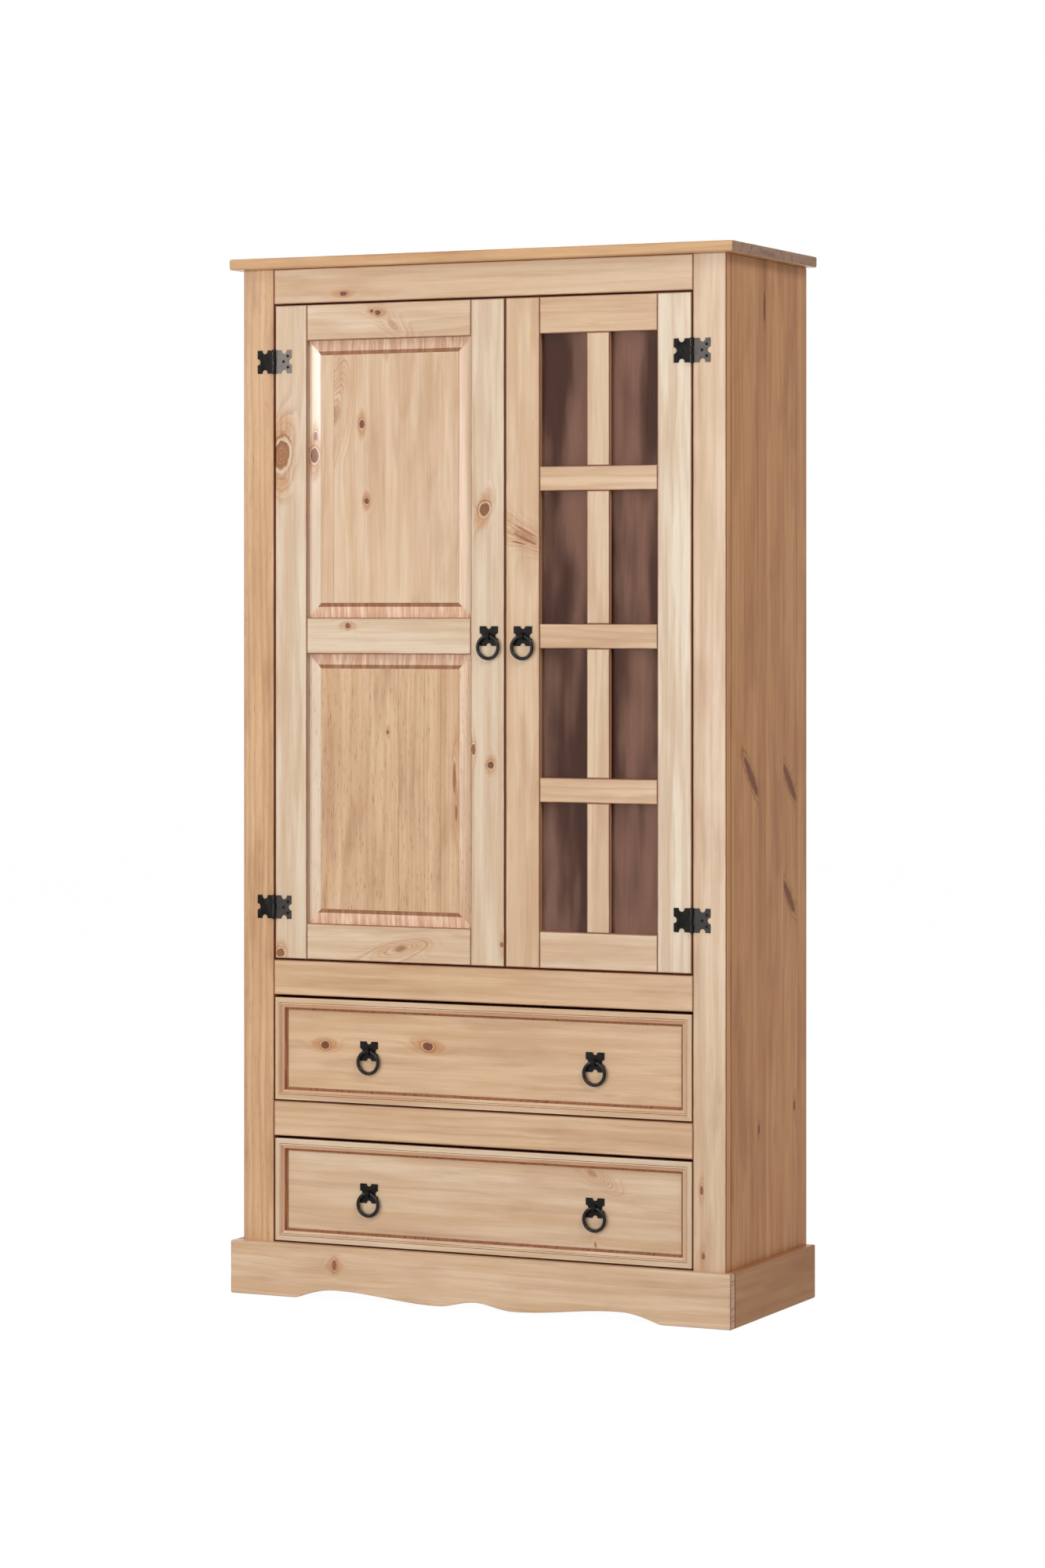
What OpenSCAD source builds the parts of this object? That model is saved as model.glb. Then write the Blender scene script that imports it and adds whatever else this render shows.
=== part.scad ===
// Display cabinet in solid pine: a panelled door, a glazed door and two drawers.
// Millimetres, +Z up, the front looks along -Y. The origin is the centre of the base.

/* [Body] */
// Overall height, from the floor to the top of the top board
cabinet_h = 1720; // [1600:5:1850]
// Width over the two side panels
body_w = 869; // [840:1:940]
// Depth from the front of the face frame to the back
body_d = 348; // [335:1:400]
// Thickness of the side panels
side_t = 18; // [15:0.5:22]
// Thickness of the back panel
back_t = 5; // [3:0.5:8]
// How far the back panel is let into each side panel
back_rebate = 8; // [5:0.5:10]
// Thickness of the top board
top_t = 18; // [15:0.5:24]
// How far the top board stands out past each side
top_side_overhang = 18.5; // [17:0.5:30]
// How far the top board stands out past the front
top_front_overhang = 18; // [18:0.5:30]

/* [Face frame] */
// Thickness of the face frame, the doors and the drawer fronts with their moulding
frame_t = 20; // [19:0.5:24]
// Width of the two upright posts of the face frame
post_w = 57; // [50:1:66]
// Height of the rails between the posts
rail_h = 58; // [50:1:66]
// Length of the rail tenons
tenon_l = 14; // [8:1:20]
// Thickness of the rail tenons
tenon_t = 8; // [6:0.5:10]
// How far each tenon is cut back from the rail's edges
tenon_shoulder = 8; // [4:1:12]
// Gap round each door and drawer front
gap = 2.5; // [2:0.25:4]

/* [Plinth] */
// Height of the plinth
plinth_h = 88; // [80:1:100]
// Thickness of the front plinth board
plinth_front_t = 18; // [14:0.5:18]
// Thickness of the side plinth boards
plinth_side_t = 15.5; // [12:0.5:17]
// Distance from the middle to where each foot begins
foot_x = 327; // [310:1:360]
// Distance from the middle to the top of each side curve
crest_x = 256; // [230:1:280]
// Height of each side curve
crest_h = 16; // [8:0.5:22]
// Distance from the middle to the low point beside the centre curve
dip_x = 68; // [50:1:90]
// Height of that low point
dip_h = 3.2; // [1:0.1:6]
// Height of the centre curve
centre_h = 13.2; // [8:0.5:20]

/* [Doors] */
// Width of the panelled left door
left_door_w = 421; // [380:1:450]
// Width of the door stiles that carry the hinges
hinge_stile_w = 59; // [50:0.5:66]
// Width of the door stiles that meet in the middle
meeting_stile_w = 60.5; // [50:0.5:66]
// Height of the door rails
door_rail_h = 59.5; // [50:0.5:66]
// How far the lock rail's centre sits below the door's mid height
lock_rail_drop = 6; // [0:1:30]
// Width of the groove that holds the panels
groove_w = 6.5; // [5:0.5:7]
// Depth of that groove
groove_d = 10; // [8:0.5:14]
// Depth of the groove's front wall behind the face
groove_in = 11; // [10:0.5:12]

/* [Raised panels] */
// Depth of the raised field behind the face of the door
field_in = 5; // [3:0.5:6]
// Height of the small step round the field
field_step = 1.2; // [0.8:0.1:2]
// Width of the sloping border
bevel_w = 24.5; // [18:0.5:32]
// Play of a panel at the bottom of its groove
panel_play = 1; // [0.8:0.1:2]

/* [Glazing] */
// Height of the cross rails and width of the upright bars between them
bar_w = 40; // [30:1:46]
// Thickness of the cross rails and upright bars
bar_t = 9.7; // [8:0.1:9.8]
// Length of the cross rails' stub tenons
stub_l = 6; // [4:0.5:8]
// Thickness of the stub tenons
stub_t = 4; // [3:0.5:5]
// How far each stub tenon is cut back from the cross rail's edges
stub_shoulder = 8; // [5:1:12]
// Depth of the glass behind the face of the door
glass_in = 10; // [10:0.5:12]
// Thickness of the glass
glass_t = 4; // [3:0.5:5]
// Width of the rebate that holds the glass and its beads
rebate_w = 8; // [6:0.5:10]
// Play of the glass in its rebate
glass_play = 1; // [0.5:0.1:1.5]

/* [Drawers] */
// Height of both drawer fronts
drawer_h = 171; // [155:1:185]
// Width of the moulding round each drawer front
moulding_w = 20; // [16:0.5:26]
// How far the moulding stands out from the drawer front
moulding_t = 8; // [6:0.5:9]
// Width of the moulding's flat outer band
moulding_flat_w = 9.5; // [7:0.5:11]
// Height of the moulding's inner lip
moulding_lip = 1.6; // [1:0.1:2.5]
// Width of that lip
moulding_lip_w = 2; // [1:0.1:3]
// Width and depth of the small step between the flat band and the round
moulding_step = 1.1; // [0.6:0.1:1.6]
// Thickness of the drawer sides and back
drawer_side_t = 12; // [10:0.5:14]
// Height of the drawer sides
drawer_side_h = 135; // [110:1:150]
// Length of the drawer sides
drawer_box_l = 280; // [250:1:296]
// Thickness of the drawer bottom
drawer_bottom_t = 5; // [3:0.5:6]
// Height of the groove for the drawer bottom above the sides' lower edge
drawer_groove_z = 10; // [8:1:16]
// Depth of that groove
drawer_groove_d = 5; // [4:0.5:6]
// How far the drawer back is housed in the drawer sides
drawer_housing_d = 5; // [3:0.5:6]
// Length of the drawer sides behind the drawer back
drawer_tail_l = 6; // [4:1:12]

/* [Drawer runners] */
// Thickness of the ledge under each drawer side
ledge_t = 14; // [10:1:14]
// How far the ledge reaches in under the drawer side
ledge_reach = 18; // [12:1:24]
// Height of the guide beside each drawer
guide_h = 40; // [25:1:60]
// Width of the stop behind each end of a drawer front
stop_w = 30; // [16:1:60]
// Length of that stop
stop_l = 14; // [8:1:24]
// Height of the stop above the drawer's lower edge
stop_h = 6.5; // [4:0.5:8.5]

/* [Inside] */
// Thickness of the cupboard floor and the bottom deck
deck_t = 16; // [12:0.5:18]
// How far the bottom deck lies below the top of the plinth
deck_drop = 18; // [15:1:22]
// How far the cupboard floor and the deck are let into the side panels
housing_d = 5; // [4:0.5:6]
// Thickness of the shelves
shelf_t = 16; // [14:0.5:20]
// Distance from the back of the doors to the front of the shelves
shelf_back = 25; // [15:1:60]
// Width and height of the shelf battens
batten = 18; // [12:1:24]
// Width of the door catches
catch_w = 44; // [30:1:60]
// Depth of the door catches
catch_d = 13; // [8:1:18]
// Height of a door catch above the lower edge of the top rail
catch_up = 20; // [12:1:26]
// Height of a door catch below the door's top edge
catch_down = 12; // [8:1:20]

/* [Hinges] */
// Height of the hinge leaves
leaf_h = 38.5; // [32:0.5:46]
// Reach of each leaf from the hinge axis
leaf_w = 31.5; // [28:0.5:40]
// Thickness of the leaves
leaf_t = 1.5; // [1:0.1:1.8]
// Radius of the notches in the leaves
notch_r = 5.2; // [3:0.1:6]
// Distance from the hinge axis to the notches above and below
notch_x = 18; // [16:0.5:20]
// How far the centres of those notches lie inside the leaf's edge
notch_in = 1; // [0:0.1:1.5]
// Radius of the knuckles
knuckle_r = 3.2; // [2.8:0.1:4]
// Radius of the hinge pin
pin_r = 1.5; // [1.2:0.1:1.8]
// Radius of the pin's heads
pin_head_r = 2.4; // [2:0.1:2.7]
// Thickness of the pin's heads
pin_head_t = 0.9; // [0.5:0.1:1.5]
// Distance from the top of each door to its upper hinge
hinge_top_in = 93; // [70:1:140]
// Distance from the bottom of each door to its lower hinge
hinge_bottom_in = 85; // [70:1:140]
// Radius of the screw shanks
screw_r = 1.3; // [1:0.1:1.5]
// Length of the screws in the wood
screw_l = 11; // [6:1:14]
// Radius of the screw heads
screw_head_r = 2.4; // [2:0.1:3]
// Height of the screw heads
screw_head_h = 1.1; // [0.6:0.1:1.4]
// Radius of the flat on top of the screw heads
screw_flat_r = 1.4; // [0.8:0.1:1.9]
// Distance from the hinge axis to the inner screw
screw_inner_x = 17.5; // [14:0.5:18]
// Distance from the hinge axis to the two outer screws
screw_outer_x = 25.5; // [24:0.5:26]
// Height of the outer screws above and below the middle of the leaf
screw_outer_z = 9.3; // [8:0.1:11]

/* [Ring pulls] */
// Width of the pull plates
plate_w = 32.5; // [28:0.5:38]
// Height of the pull plates
plate_h = 32; // [28:0.5:38]
// Thickness of the pull plates
plate_t = 1.6; // [1.2:0.1:2]
// Radius of the notches in the pull plates
plate_notch_r = 4.4; // [3:0.1:5]
// Outer diameter of the rings
ring_d = 42; // [36:0.5:46]
// Thickness of the ring's bar
ring_bar_d = 5.6; // [4.5:0.1:6]
// Radius of the eye that carries the ring
eye_r = 5.6; // [5.4:0.1:6.5]
// Width of the eye along the ring's axis
eye_w = 6.5; // [5:0.5:8]
// Radius of the stud behind the plate
stud_r = 2; // [1.5:0.1:3]
// Length of the stud in the wood
stud_l = 9; // [6:0.5:9]
// Distance from the left door's meeting edge to its pull
left_pull_in = 27.5; // [24:0.5:36]
// Distance from the right door's meeting edge to its pull
right_pull_in = 31; // [24:0.5:36]
// Distance between the two pulls of a drawer
drawer_pull_pitch = 408; // [250:1:500]

/* [Clearances] */
// Play on each side of a tenon, a tongue or a housed board
joint_play = 0.15; // [0.1:0.05:0.25]
// Play at the end of a tenon or a tongue
joint_end_play = 0.5; // [0.3:0.1:1]
// Gap between pieces that slide or turn past each other
slide_gap = 0.3; // [0.3:0.05:0.6]
// Gap between the knuckles and the face of the wood
knuckle_gap = 0.2; // [0.1:0.05:0.3]
// Radial play of a hinge pin in its knuckles
pin_play = 0.05; // [0.02:0.01:0.08]
// Radial play of a screw or a stud in its hole
hole_play = 0.05; // [0.05:0.05:0.2]
// Play at the end of a screw or stud hole
hole_end_play = 0.5; // [0.3:0.1:1]
// Play of a ring in its eye
ring_play = 0.15; // [0.1:0.05:0.2]

/* [Hidden] */
$fn = 48;

// Margin by which a cut runs past the face that it opens
over = 1;

// Places across the depth
front_y = (top_front_overhang - body_d) / 2;
back_y = front_y + body_d;
frame_y = [front_y, front_y + frame_t];
inside_back_y = back_y - back_t;
tenon_y = [frame_y[0] + (frame_t - tenon_t) / 2, frame_y[0] + (frame_t + tenon_t) / 2];
groove_y = [front_y + groove_in, front_y + groove_in + groove_w];
tongue_y = [groove_y[0] + joint_play, groove_y[1] - joint_play];
bar_y = [front_y, front_y + bar_t];
stub_y = [front_y + (bar_t - stub_t) / 2, front_y + (bar_t + stub_t) / 2];
glass_y = [front_y + glass_in, front_y + glass_in + glass_t];
drawer_face_y = front_y + moulding_t;

// Places across the width
body_half = body_w / 2;
inner_half = body_half - side_t;
opening_half = body_half - post_w;
left_door_x = [-opening_half + gap, -opening_half + gap + left_door_w];
right_door_x = [left_door_x[1] + gap, opening_half - gap];
left_light_x = [left_door_x[0] + hinge_stile_w, left_door_x[1] - meeting_stile_w];
right_light_x = [right_door_x[0] + meeting_stile_w, right_door_x[1] - hinge_stile_w];
upright_bar_x = [
    (right_light_x[0] + right_light_x[1] - bar_w) / 2,
    (right_light_x[0] + right_light_x[1] + bar_w) / 2
];
drawer_half = opening_half - gap;
box_half = drawer_half - slide_gap;
hinge_axis_x = opening_half - gap / 2;
left_pull_x = left_door_x[1] - left_pull_in;
right_pull_x = right_door_x[0] + right_pull_in;

// Places up the height
top_under_z = cabinet_h - top_t;
bottom_rail_z = plinth_h - rail_h;
lower_drawer_z = plinth_h + gap;
drawer_rail_z = lower_drawer_z + drawer_h + gap;
upper_drawer_z = drawer_rail_z + rail_h + gap;
middle_rail_z = upper_drawer_z + drawer_h + gap;
top_rail_z = top_under_z - rail_h;
door_z = [middle_rail_z + rail_h + gap, top_rail_z - gap];
light_z = [door_z[0] + door_rail_h, door_z[1] - door_rail_h];
glazed_rail_z = [[door_z[0], light_z[0]], [light_z[1], door_z[1]]];
lock_rail_mid_z = (door_z[0] + door_z[1]) / 2 - lock_rail_drop;
lock_rail_z = [lock_rail_mid_z - door_rail_h / 2, lock_rail_mid_z + door_rail_h / 2];
cross_rail_mid_z = [
    (light_z[0] + lock_rail_mid_z - bar_w / 2) / 2,
    lock_rail_mid_z,
    (light_z[1] + lock_rail_mid_z + bar_w / 2) / 2
];
deck_top_z = plinth_h - deck_drop;
floor_top_z = middle_rail_z + rail_h;
hinge_z = [door_z[0] + hinge_bottom_in, door_z[1] - hinge_top_in];
frame_rail_z = [bottom_rail_z, drawer_rail_z, middle_rail_z, top_rail_z];

// Hinge and ring pull sizes that follow from others
knuckle_out = knuckle_r + knuckle_gap;
knuckle_l = (leaf_h - 2 * slide_gap) / 3;
knuckle_pitch = knuckle_l + slide_gap;
leaf_inner_x = knuckle_r + 2 * slide_gap;
ring_bar_r = ring_bar_d / 2;
ring_r = (ring_d - ring_bar_d) / 2;
eye_bore_r = ring_bar_r + ring_r - sqrt(pow(ring_r, 2) - pow(eye_w / 2, 2)) + ring_play;
ring_out = ring_bar_r + 2 * slide_gap;
guide_half = box_half + slide_gap;

// Colours
front_pine = [0.86, 0.72, 0.55];
frame_pine = [0.80, 0.64, 0.47];
panel_pine = [0.83, 0.68, 0.51];
side_pine = [0.66, 0.50, 0.37];
inside_pine = [0.72, 0.58, 0.43];
iron = [0.14, 0.13, 0.13];
bronze_glass = [0.35, 0.25, 0.22, 0.6];

// Block between a low and a high value on each axis
module block(x, y, z) {
    translate([x[0], y[0], z[0]])
        cube([x[1] - x[0], y[1] - y[0], z[1] - z[0]]);
}

// Outline drawn in X and Z, standing out to the front by a thickness from y
module front_plate(y, thickness) {
    translate([0, y, 0]) rotate([90, 0, 0]) linear_extrude(thickness) children();
}

// Outline drawn in Y and Z, run along X
module run_along_x(x) {
    translate([x[0], 0, 0]) rotate([90, 0, 90]) linear_extrude(x[1] - x[0]) children();
}

// Outline drawn in X and Y, run along Z
module run_along_z(z) {
    translate([0, 0, z[0]]) linear_extrude(z[1] - z[0]) children();
}

// The children as drawn on the right, or mirrored to the left
module on_side(left) {
    mirror([left ? 1 : 0, 0, 0]) children();
}

// Hole into the wood from its front face at y
module wood_hole(x, y, z, r, depth) {
    translate([x, y - over, z]) rotate([-90, 0, 0]) cylinder(r = r, h = depth + over);
}

module top_board() {
    color(frame_pine)
        block([-body_half - top_side_overhang, body_half + top_side_overhang],
              [front_y - top_front_overhang, back_y], [top_under_z, cabinet_h]);
}

// Board with housed ends, or with a play round it the slot that it sits in
module housed_board(top_z, play, end_play) {
    block([-inner_half - housing_d - end_play, inner_half + housing_d + end_play],
          [frame_y[1] - play, inside_back_y + play], [top_z - deck_t - play, top_z + play]);
}

module inside_board(top_z) {
    color(inside_pine) housed_board(top_z, 0, 0);
}

module side_panel(left) {
    color(side_pine) on_side(left) difference() {
        block([inner_half, body_half], [frame_y[1], back_y], [0, top_under_z]);
        block([inner_half - over, inner_half + back_rebate + joint_end_play],
              [inside_back_y, back_y + over], [deck_top_z - deck_t, top_under_z + over]);
        housed_board(deck_top_z, joint_play, joint_end_play);
        housed_board(floor_top_z, joint_play, joint_end_play);
    }
}

module back_panel() {
    color(inside_pine)
        block([-inner_half - back_rebate, inner_half + back_rebate],
              [inside_back_y, back_y], [deck_top_z - deck_t, top_under_z]);
}

// Tenon that runs through the whole rail, with a play round it the mortises
module rail_tenon(z, play, end_play) {
    block([-opening_half - tenon_l - end_play, opening_half + tenon_l + end_play],
          [tenon_y[0] - play, tenon_y[1] + play],
          [z + tenon_shoulder - play, z + rail_h - tenon_shoulder + play]);
}

module frame_rail(z) {
    color(frame_pine) union() {
        block([-opening_half, opening_half], frame_y, [z, z + rail_h]);
        rail_tenon(z, 0, 0);
    }
}

module face_post(left) {
    color(frame_pine) on_side(left) difference() {
        block([opening_half, body_half], frame_y, [0, top_under_z]);
        for (z = frame_rail_z) rail_tenon(z, joint_play, joint_end_play);
        for (z = hinge_z) hinge_screw_places(hinge_axis_x, z, 1) screw_hole();
    }
}

// Height of the plinth's lower edge at a distance from the middle
function ease(t) = (1 - cos(180 * t)) / 2;
function plinth_edge(x) =
    x >= foot_x ? 0 :
    x >= crest_x ? crest_h * sin(90 * (foot_x - x) / (foot_x - crest_x)) :
    x >= dip_x ? crest_h + (dip_h - crest_h) * ease((crest_x - x) / (crest_x - dip_x)) :
    dip_h + (centre_h - dip_h) * ease(1 - x / dip_x);

module plinth_front() {
    half = body_half + plinth_side_t;
    steps = 60;
    edge = [for (i = [-steps : steps]) let (x = foot_x * i / steps) [x, plinth_edge(abs(x))]];
    color(frame_pine) front_plate(front_y, plinth_front_t)
        polygon(concat([[-half, plinth_h], [-half, 0]], edge, [[half, 0], [half, plinth_h]]));
}

module plinth_returns() {
    color(side_pine) {
        for (left = [false, true]) on_side(left)
            block([body_half, body_half + plinth_side_t], [front_y, back_y], [0, plinth_h]);
        block([-inner_half, inner_half], [inside_back_y - side_t, inside_back_y],
              [0, deck_top_z - deck_t]);
    }
}

module shelf(mid_z) {
    color(inside_pine)
        block([-inner_half + slide_gap, inner_half - slide_gap],
              [frame_y[1] + shelf_back, inside_back_y], [mid_z - shelf_t / 2, mid_z + shelf_t / 2]);
}

module shelf_battens() {
    color(inside_pine) for (z = cross_rail_mid_z, left = [false, true]) on_side(left)
        block([inner_half - batten, inner_half], [frame_y[1] + shelf_back, inside_back_y],
              [z - shelf_t / 2 - batten, z - shelf_t / 2]);
}

// Ledge, guide and front stop for one side of a drawer, whose lower edge is at z
module drawer_runner(z) {
    ledge_x = guide_half - ledge_reach;
    run = [frame_y[1], inside_back_y];
    top = z - slide_gap;
    stop_x = [ledge_x - stop_w, ledge_x];
    stop_back_y = frame_y[1] + stop_l;
    block([ledge_x, inner_half], run, [top - ledge_t, top]);
    block([guide_half, inner_half], run, [top - ledge_t, top + guide_h]);
    block(stop_x, [frame_y[1], stop_back_y], [top - ledge_t, z - gap]);
    block(stop_x, [frame_y[1] + slide_gap, stop_back_y], [top - ledge_t, z + stop_h]);
}

module drawer_runners() {
    color(inside_pine) for (z = [lower_drawer_z, upper_drawer_z], left = [false, true])
        on_side(left) union() drawer_runner(z);
}

// Catch on the back of the top rail, with a foot that stops the door
module door_catch(x) {
    union() {
        block([x - catch_w / 2, x + catch_w / 2], [frame_y[1], frame_y[1] + catch_d],
              [top_rail_z + gap / 2, top_rail_z + catch_up]);
        block([x - catch_w / 2, x + catch_w / 2], [frame_y[1] + slide_gap, frame_y[1] + catch_d],
              [door_z[1] - catch_down, top_rail_z + catch_up]);
    }
}

module door_catches() {
    color(iron) {
        door_catch(left_door_x[1] - meeting_stile_w / 2 - catch_w / 2);
        door_catch(right_door_x[0] + meeting_stile_w / 2 + catch_w / 2);
    }
}

// Hinge leaf: notched plate with either the middle knuckle or the two end ones
module leaf_outline(middle) {
    difference() {
        union() {
            translate([leaf_inner_x, -leaf_h / 2]) square([leaf_w - leaf_inner_x, leaf_h]);
            for (k = middle ? [0] : [-1, 1])
                translate([0, k * knuckle_pitch - knuckle_l / 2]) square([leaf_w / 2, knuckle_l]);
        }
        for (k = [-1, 1]) translate([notch_x, k * (leaf_h / 2 - notch_in)]) circle(notch_r);
        translate([leaf_w, 0]) circle(notch_r);
    }
}

// The children at the three screws of a leaf whose hinge axis is at x and z
module hinge_screw_places(x, z, direction) {
    for (p = [[screw_inner_x, 0], [screw_outer_x, screw_outer_z], [screw_outer_x, -screw_outer_z]])
        translate([x + direction * p[0], front_y, z + p[1]]) children();
}

module screw_hole() {
    wood_hole(0, 0, 0, screw_r + hole_play, screw_l + hole_end_play);
}

module screw() {
    rotate([-90, 0, 0]) union() {
        translate([0, 0, -leaf_t]) cylinder(r = screw_r, h = screw_l + leaf_t);
        translate([0, 0, -leaf_t - screw_head_h])
            cylinder(r1 = screw_flat_r, r2 = screw_head_r, h = screw_head_h);
    }
}

module hinge_leaf(x, z, direction, middle) {
    difference() {
        translate([x, front_y, z]) mirror([direction < 0 ? 1 : 0, 0, 0]) difference() {
            union() {
                front_plate(0, leaf_t) leaf_outline(middle);
                for (k = middle ? [0] : [-1, 1])
                    translate([0, -knuckle_out, k * knuckle_pitch - knuckle_l / 2])
                        cylinder(r = knuckle_r, h = knuckle_l);
            }
            translate([0, -knuckle_out, -leaf_h / 2 - over])
                cylinder(r = pin_r + pin_play, h = leaf_h + 2 * over);
        }
        hinge_screw_places(x, z, direction)
            wood_hole(0, -leaf_t, 0, screw_r + hole_play, 2 * leaf_t);
    }
}

module hinge_pin(x, z) {
    translate([x, front_y - knuckle_out, z]) union() {
        cylinder(r = pin_r, h = leaf_h, center = true);
        for (k = [-1, 1]) translate([0, 0, k * (leaf_h + pin_head_t) / 2])
            cylinder(r = pin_head_r, h = pin_head_t, center = true);
    }
}

module frame_hinge_leaves() {
    color(iron) for (z = hinge_z, s = [-1, 1]) hinge_leaf(s * hinge_axis_x, z, s, false);
}

module hinge_pins() {
    color(iron) for (z = hinge_z, s = [-1, 1]) hinge_pin(s * hinge_axis_x, z);
}

module frame_hinge_screws() {
    color(iron) for (z = hinge_z, s = [-1, 1])
        hinge_screw_places(s * hinge_axis_x, z, s) screw();
}

// Leaves and screws of the door hung at x, which lies in the given direction
module door_hinge_leaves(x, direction) {
    color(iron) for (z = hinge_z) hinge_leaf(x, z, direction, true);
}

module door_hinge_screws(x, direction) {
    color(iron) for (z = hinge_z) hinge_screw_places(x, z, direction) screw();
}

// Ring pull: notched plate with a cast eye and a stud, centred at x, z on the face at y
module pull_plate(x, y, z) {
    eye_y = -plate_t - ring_out;
    translate([x, y, z]) difference() {
        union() {
            front_plate(0, plate_t) difference() {
                square([plate_w, plate_h], center = true);
                for (s = [-1, 1]) {
                    translate([s * plate_w / 2, 0]) circle(plate_notch_r);
                    translate([0, s * plate_h / 2]) circle(plate_notch_r);
                }
            }
            intersection() {
                translate([0, eye_y, 0]) rotate([0, 90, 0])
                    cylinder(r = eye_r, h = eye_w, center = true);
                block([-eye_w, eye_w], [eye_y - eye_r, 0], [-eye_r, eye_r]);
            }
            rotate([-90, 0, 0]) cylinder(r = stud_r, h = stud_l);
        }
        translate([0, eye_y, 0]) rotate([0, 90, 0])
            cylinder(r = eye_bore_r, h = eye_w + 2 * over, center = true);
    }
}

module pull_ring(x, y, z) {
    color(iron) translate([x, y - plate_t - ring_out, z - ring_r]) rotate([90, 0, 0])
        rotate_extrude($fn = 96) translate([ring_r, 0]) circle(ring_bar_r);
}

module stud_hole(x, y, z) {
    wood_hole(x, y, z, stud_r + hole_play, stud_l + hole_end_play);
}

// Stile of the panelled door, with its groove open towards the panels
module panelled_stile(x, groove_x, hinged, pull_x) {
    color(front_pine) difference() {
        block(x, frame_y, door_z);
        block(groove_x, groove_y, [door_z[0] - over, door_z[1] + over]);
        if (hinged) for (z = hinge_z) hinge_screw_places(-hinge_axis_x, z, 1) screw_hole();
        else stud_hole(pull_x, front_y, lock_rail_mid_z);
    }
}

module left_door_hinge_stile() {
    inner = left_light_x[0];
    panelled_stile([left_door_x[0], inner], [inner - groove_d, inner + over], true, 0);
}

module left_door_meeting_stile() {
    inner = left_light_x[1];
    panelled_stile([inner, left_door_x[1]], [inner - over, inner + groove_d], false, left_pull_x);
}

// Rail of the panelled door: tongues at its ends and grooves along chosen edges
module panelled_rail(z, below, above) {
    tongue = groove_d - joint_end_play;
    whole_x = [left_light_x[0] - groove_d, left_light_x[1] + groove_d];
    color(front_pine) difference() {
        union() {
            block(left_light_x, frame_y, z);
            block([left_light_x[0] - tongue, left_light_x[1] + tongue], tongue_y, z);
        }
        if (below) block(whole_x, groove_y, [z[0] - over, z[0] + groove_d]);
        if (above) block(whole_x, groove_y, [z[1] - groove_d, z[1] + over]);
    }
}

// Section of a raised panel between two frame edges, as pairs of place and depth
function panel_section(low, high) =
    let (tip = groove_d - panel_play, field = front_y + field_in)
    [
        [low - tip, tongue_y[1]], [low - tip, tongue_y[0]], [low, tongue_y[0]],
        [low + bevel_w, field + field_step], [low + bevel_w, field],
        [high - bevel_w, field], [high - bevel_w, field + field_step],
        [high, tongue_y[0]], [high + tip, tongue_y[0]], [high + tip, tongue_y[1]]
    ];

module raised_panel(z) {
    x = left_light_x;
    color(panel_pine) intersection() {
        run_along_z([z[0] - groove_d, z[1] + groove_d]) polygon(panel_section(x[0], x[1]));
        run_along_x([x[0] - groove_d, x[1] + groove_d])
            polygon([for (p = panel_section(z[0], z[1])) [p[1], p[0]]]);
    }
}

// Tenons of the glazed door's rails, with a play round them the mortises
module glazed_tenon(z, play, end_play) {
    reach = tenon_l + end_play;
    block([right_light_x[0] - reach, right_light_x[1] + reach],
          [tongue_y[0] - play, tongue_y[1] + play],
          [z[0] + rebate_w + tenon_shoulder - play, z[1] - rebate_w - tenon_shoulder + play]);
}

// Stub tenons of a cross rail, with a play round them the mortises
module stub_tenon(mid_z, play, end_play) {
    reach = stub_l + end_play;
    half = bar_w / 2 - stub_shoulder + play;
    block([right_light_x[0] - reach, right_light_x[1] + reach],
          [stub_y[0] - play, stub_y[1] + play], [mid_z - half, mid_z + half]);
}

// Space behind the lights that holds the glass and its beads
module glass_rebate() {
    block([right_light_x[0] - rebate_w, right_light_x[1] + rebate_w],
          [glass_y[0], frame_y[1] + over], [light_z[0] - rebate_w, light_z[1] + rebate_w]);
}

module glazed_stile(x, hinged) {
    color(front_pine) difference() {
        block(x, frame_y, door_z);
        glass_rebate();
        for (z = glazed_rail_z) glazed_tenon(z, joint_play, joint_end_play);
        for (z = cross_rail_mid_z) stub_tenon(z, joint_play, joint_end_play);
        if (hinged) for (z = hinge_z) hinge_screw_places(hinge_axis_x, z, -1) screw_hole();
        else stud_hole(right_pull_x, front_y, lock_rail_mid_z);
    }
}

module glazed_rail(z) {
    color(front_pine) difference() {
        union() {
            block(right_light_x, frame_y, z);
            glazed_tenon(z, 0, 0);
        }
        glass_rebate();
    }
}

module cross_rails() {
    color(front_pine) for (z = cross_rail_mid_z) union() {
        block(right_light_x, bar_y, [z - bar_w / 2, z + bar_w / 2]);
        stub_tenon(z, 0, 0);
    }
}

module upright_bars() {
    lows = concat([light_z[0]], [for (z = cross_rail_mid_z) z + bar_w / 2]);
    highs = concat([for (z = cross_rail_mid_z) z - bar_w / 2], [light_z[1]]);
    color(front_pine) for (i = [0 : len(lows) - 1])
        block(upright_bar_x, bar_y, [lows[i], highs[i]]);
}

module glass() {
    spare = rebate_w - glass_play;
    color(bronze_glass)
        block([right_light_x[0] - spare, right_light_x[1] + spare], glass_y,
              [light_z[0] - spare, light_z[1] + spare]);
}

module glazing_beads() {
    bead_y = [glass_y[1], frame_y[1]];
    reach = rebate_w - joint_play;
    cross_x = [right_light_x[0] + joint_play, right_light_x[1] - joint_play];
    color(front_pine) {
        block([right_light_x[0] - reach, right_light_x[0]], bead_y,
              [light_z[0] - reach, light_z[1] + reach]);
        block([right_light_x[1], right_light_x[1] + reach], bead_y,
              [light_z[0] - reach, light_z[1] + reach]);
        block(cross_x, bead_y, [light_z[0] - reach, light_z[0]]);
        block(cross_x, bead_y, [light_z[1], light_z[1] + reach]);
    }
}

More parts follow.
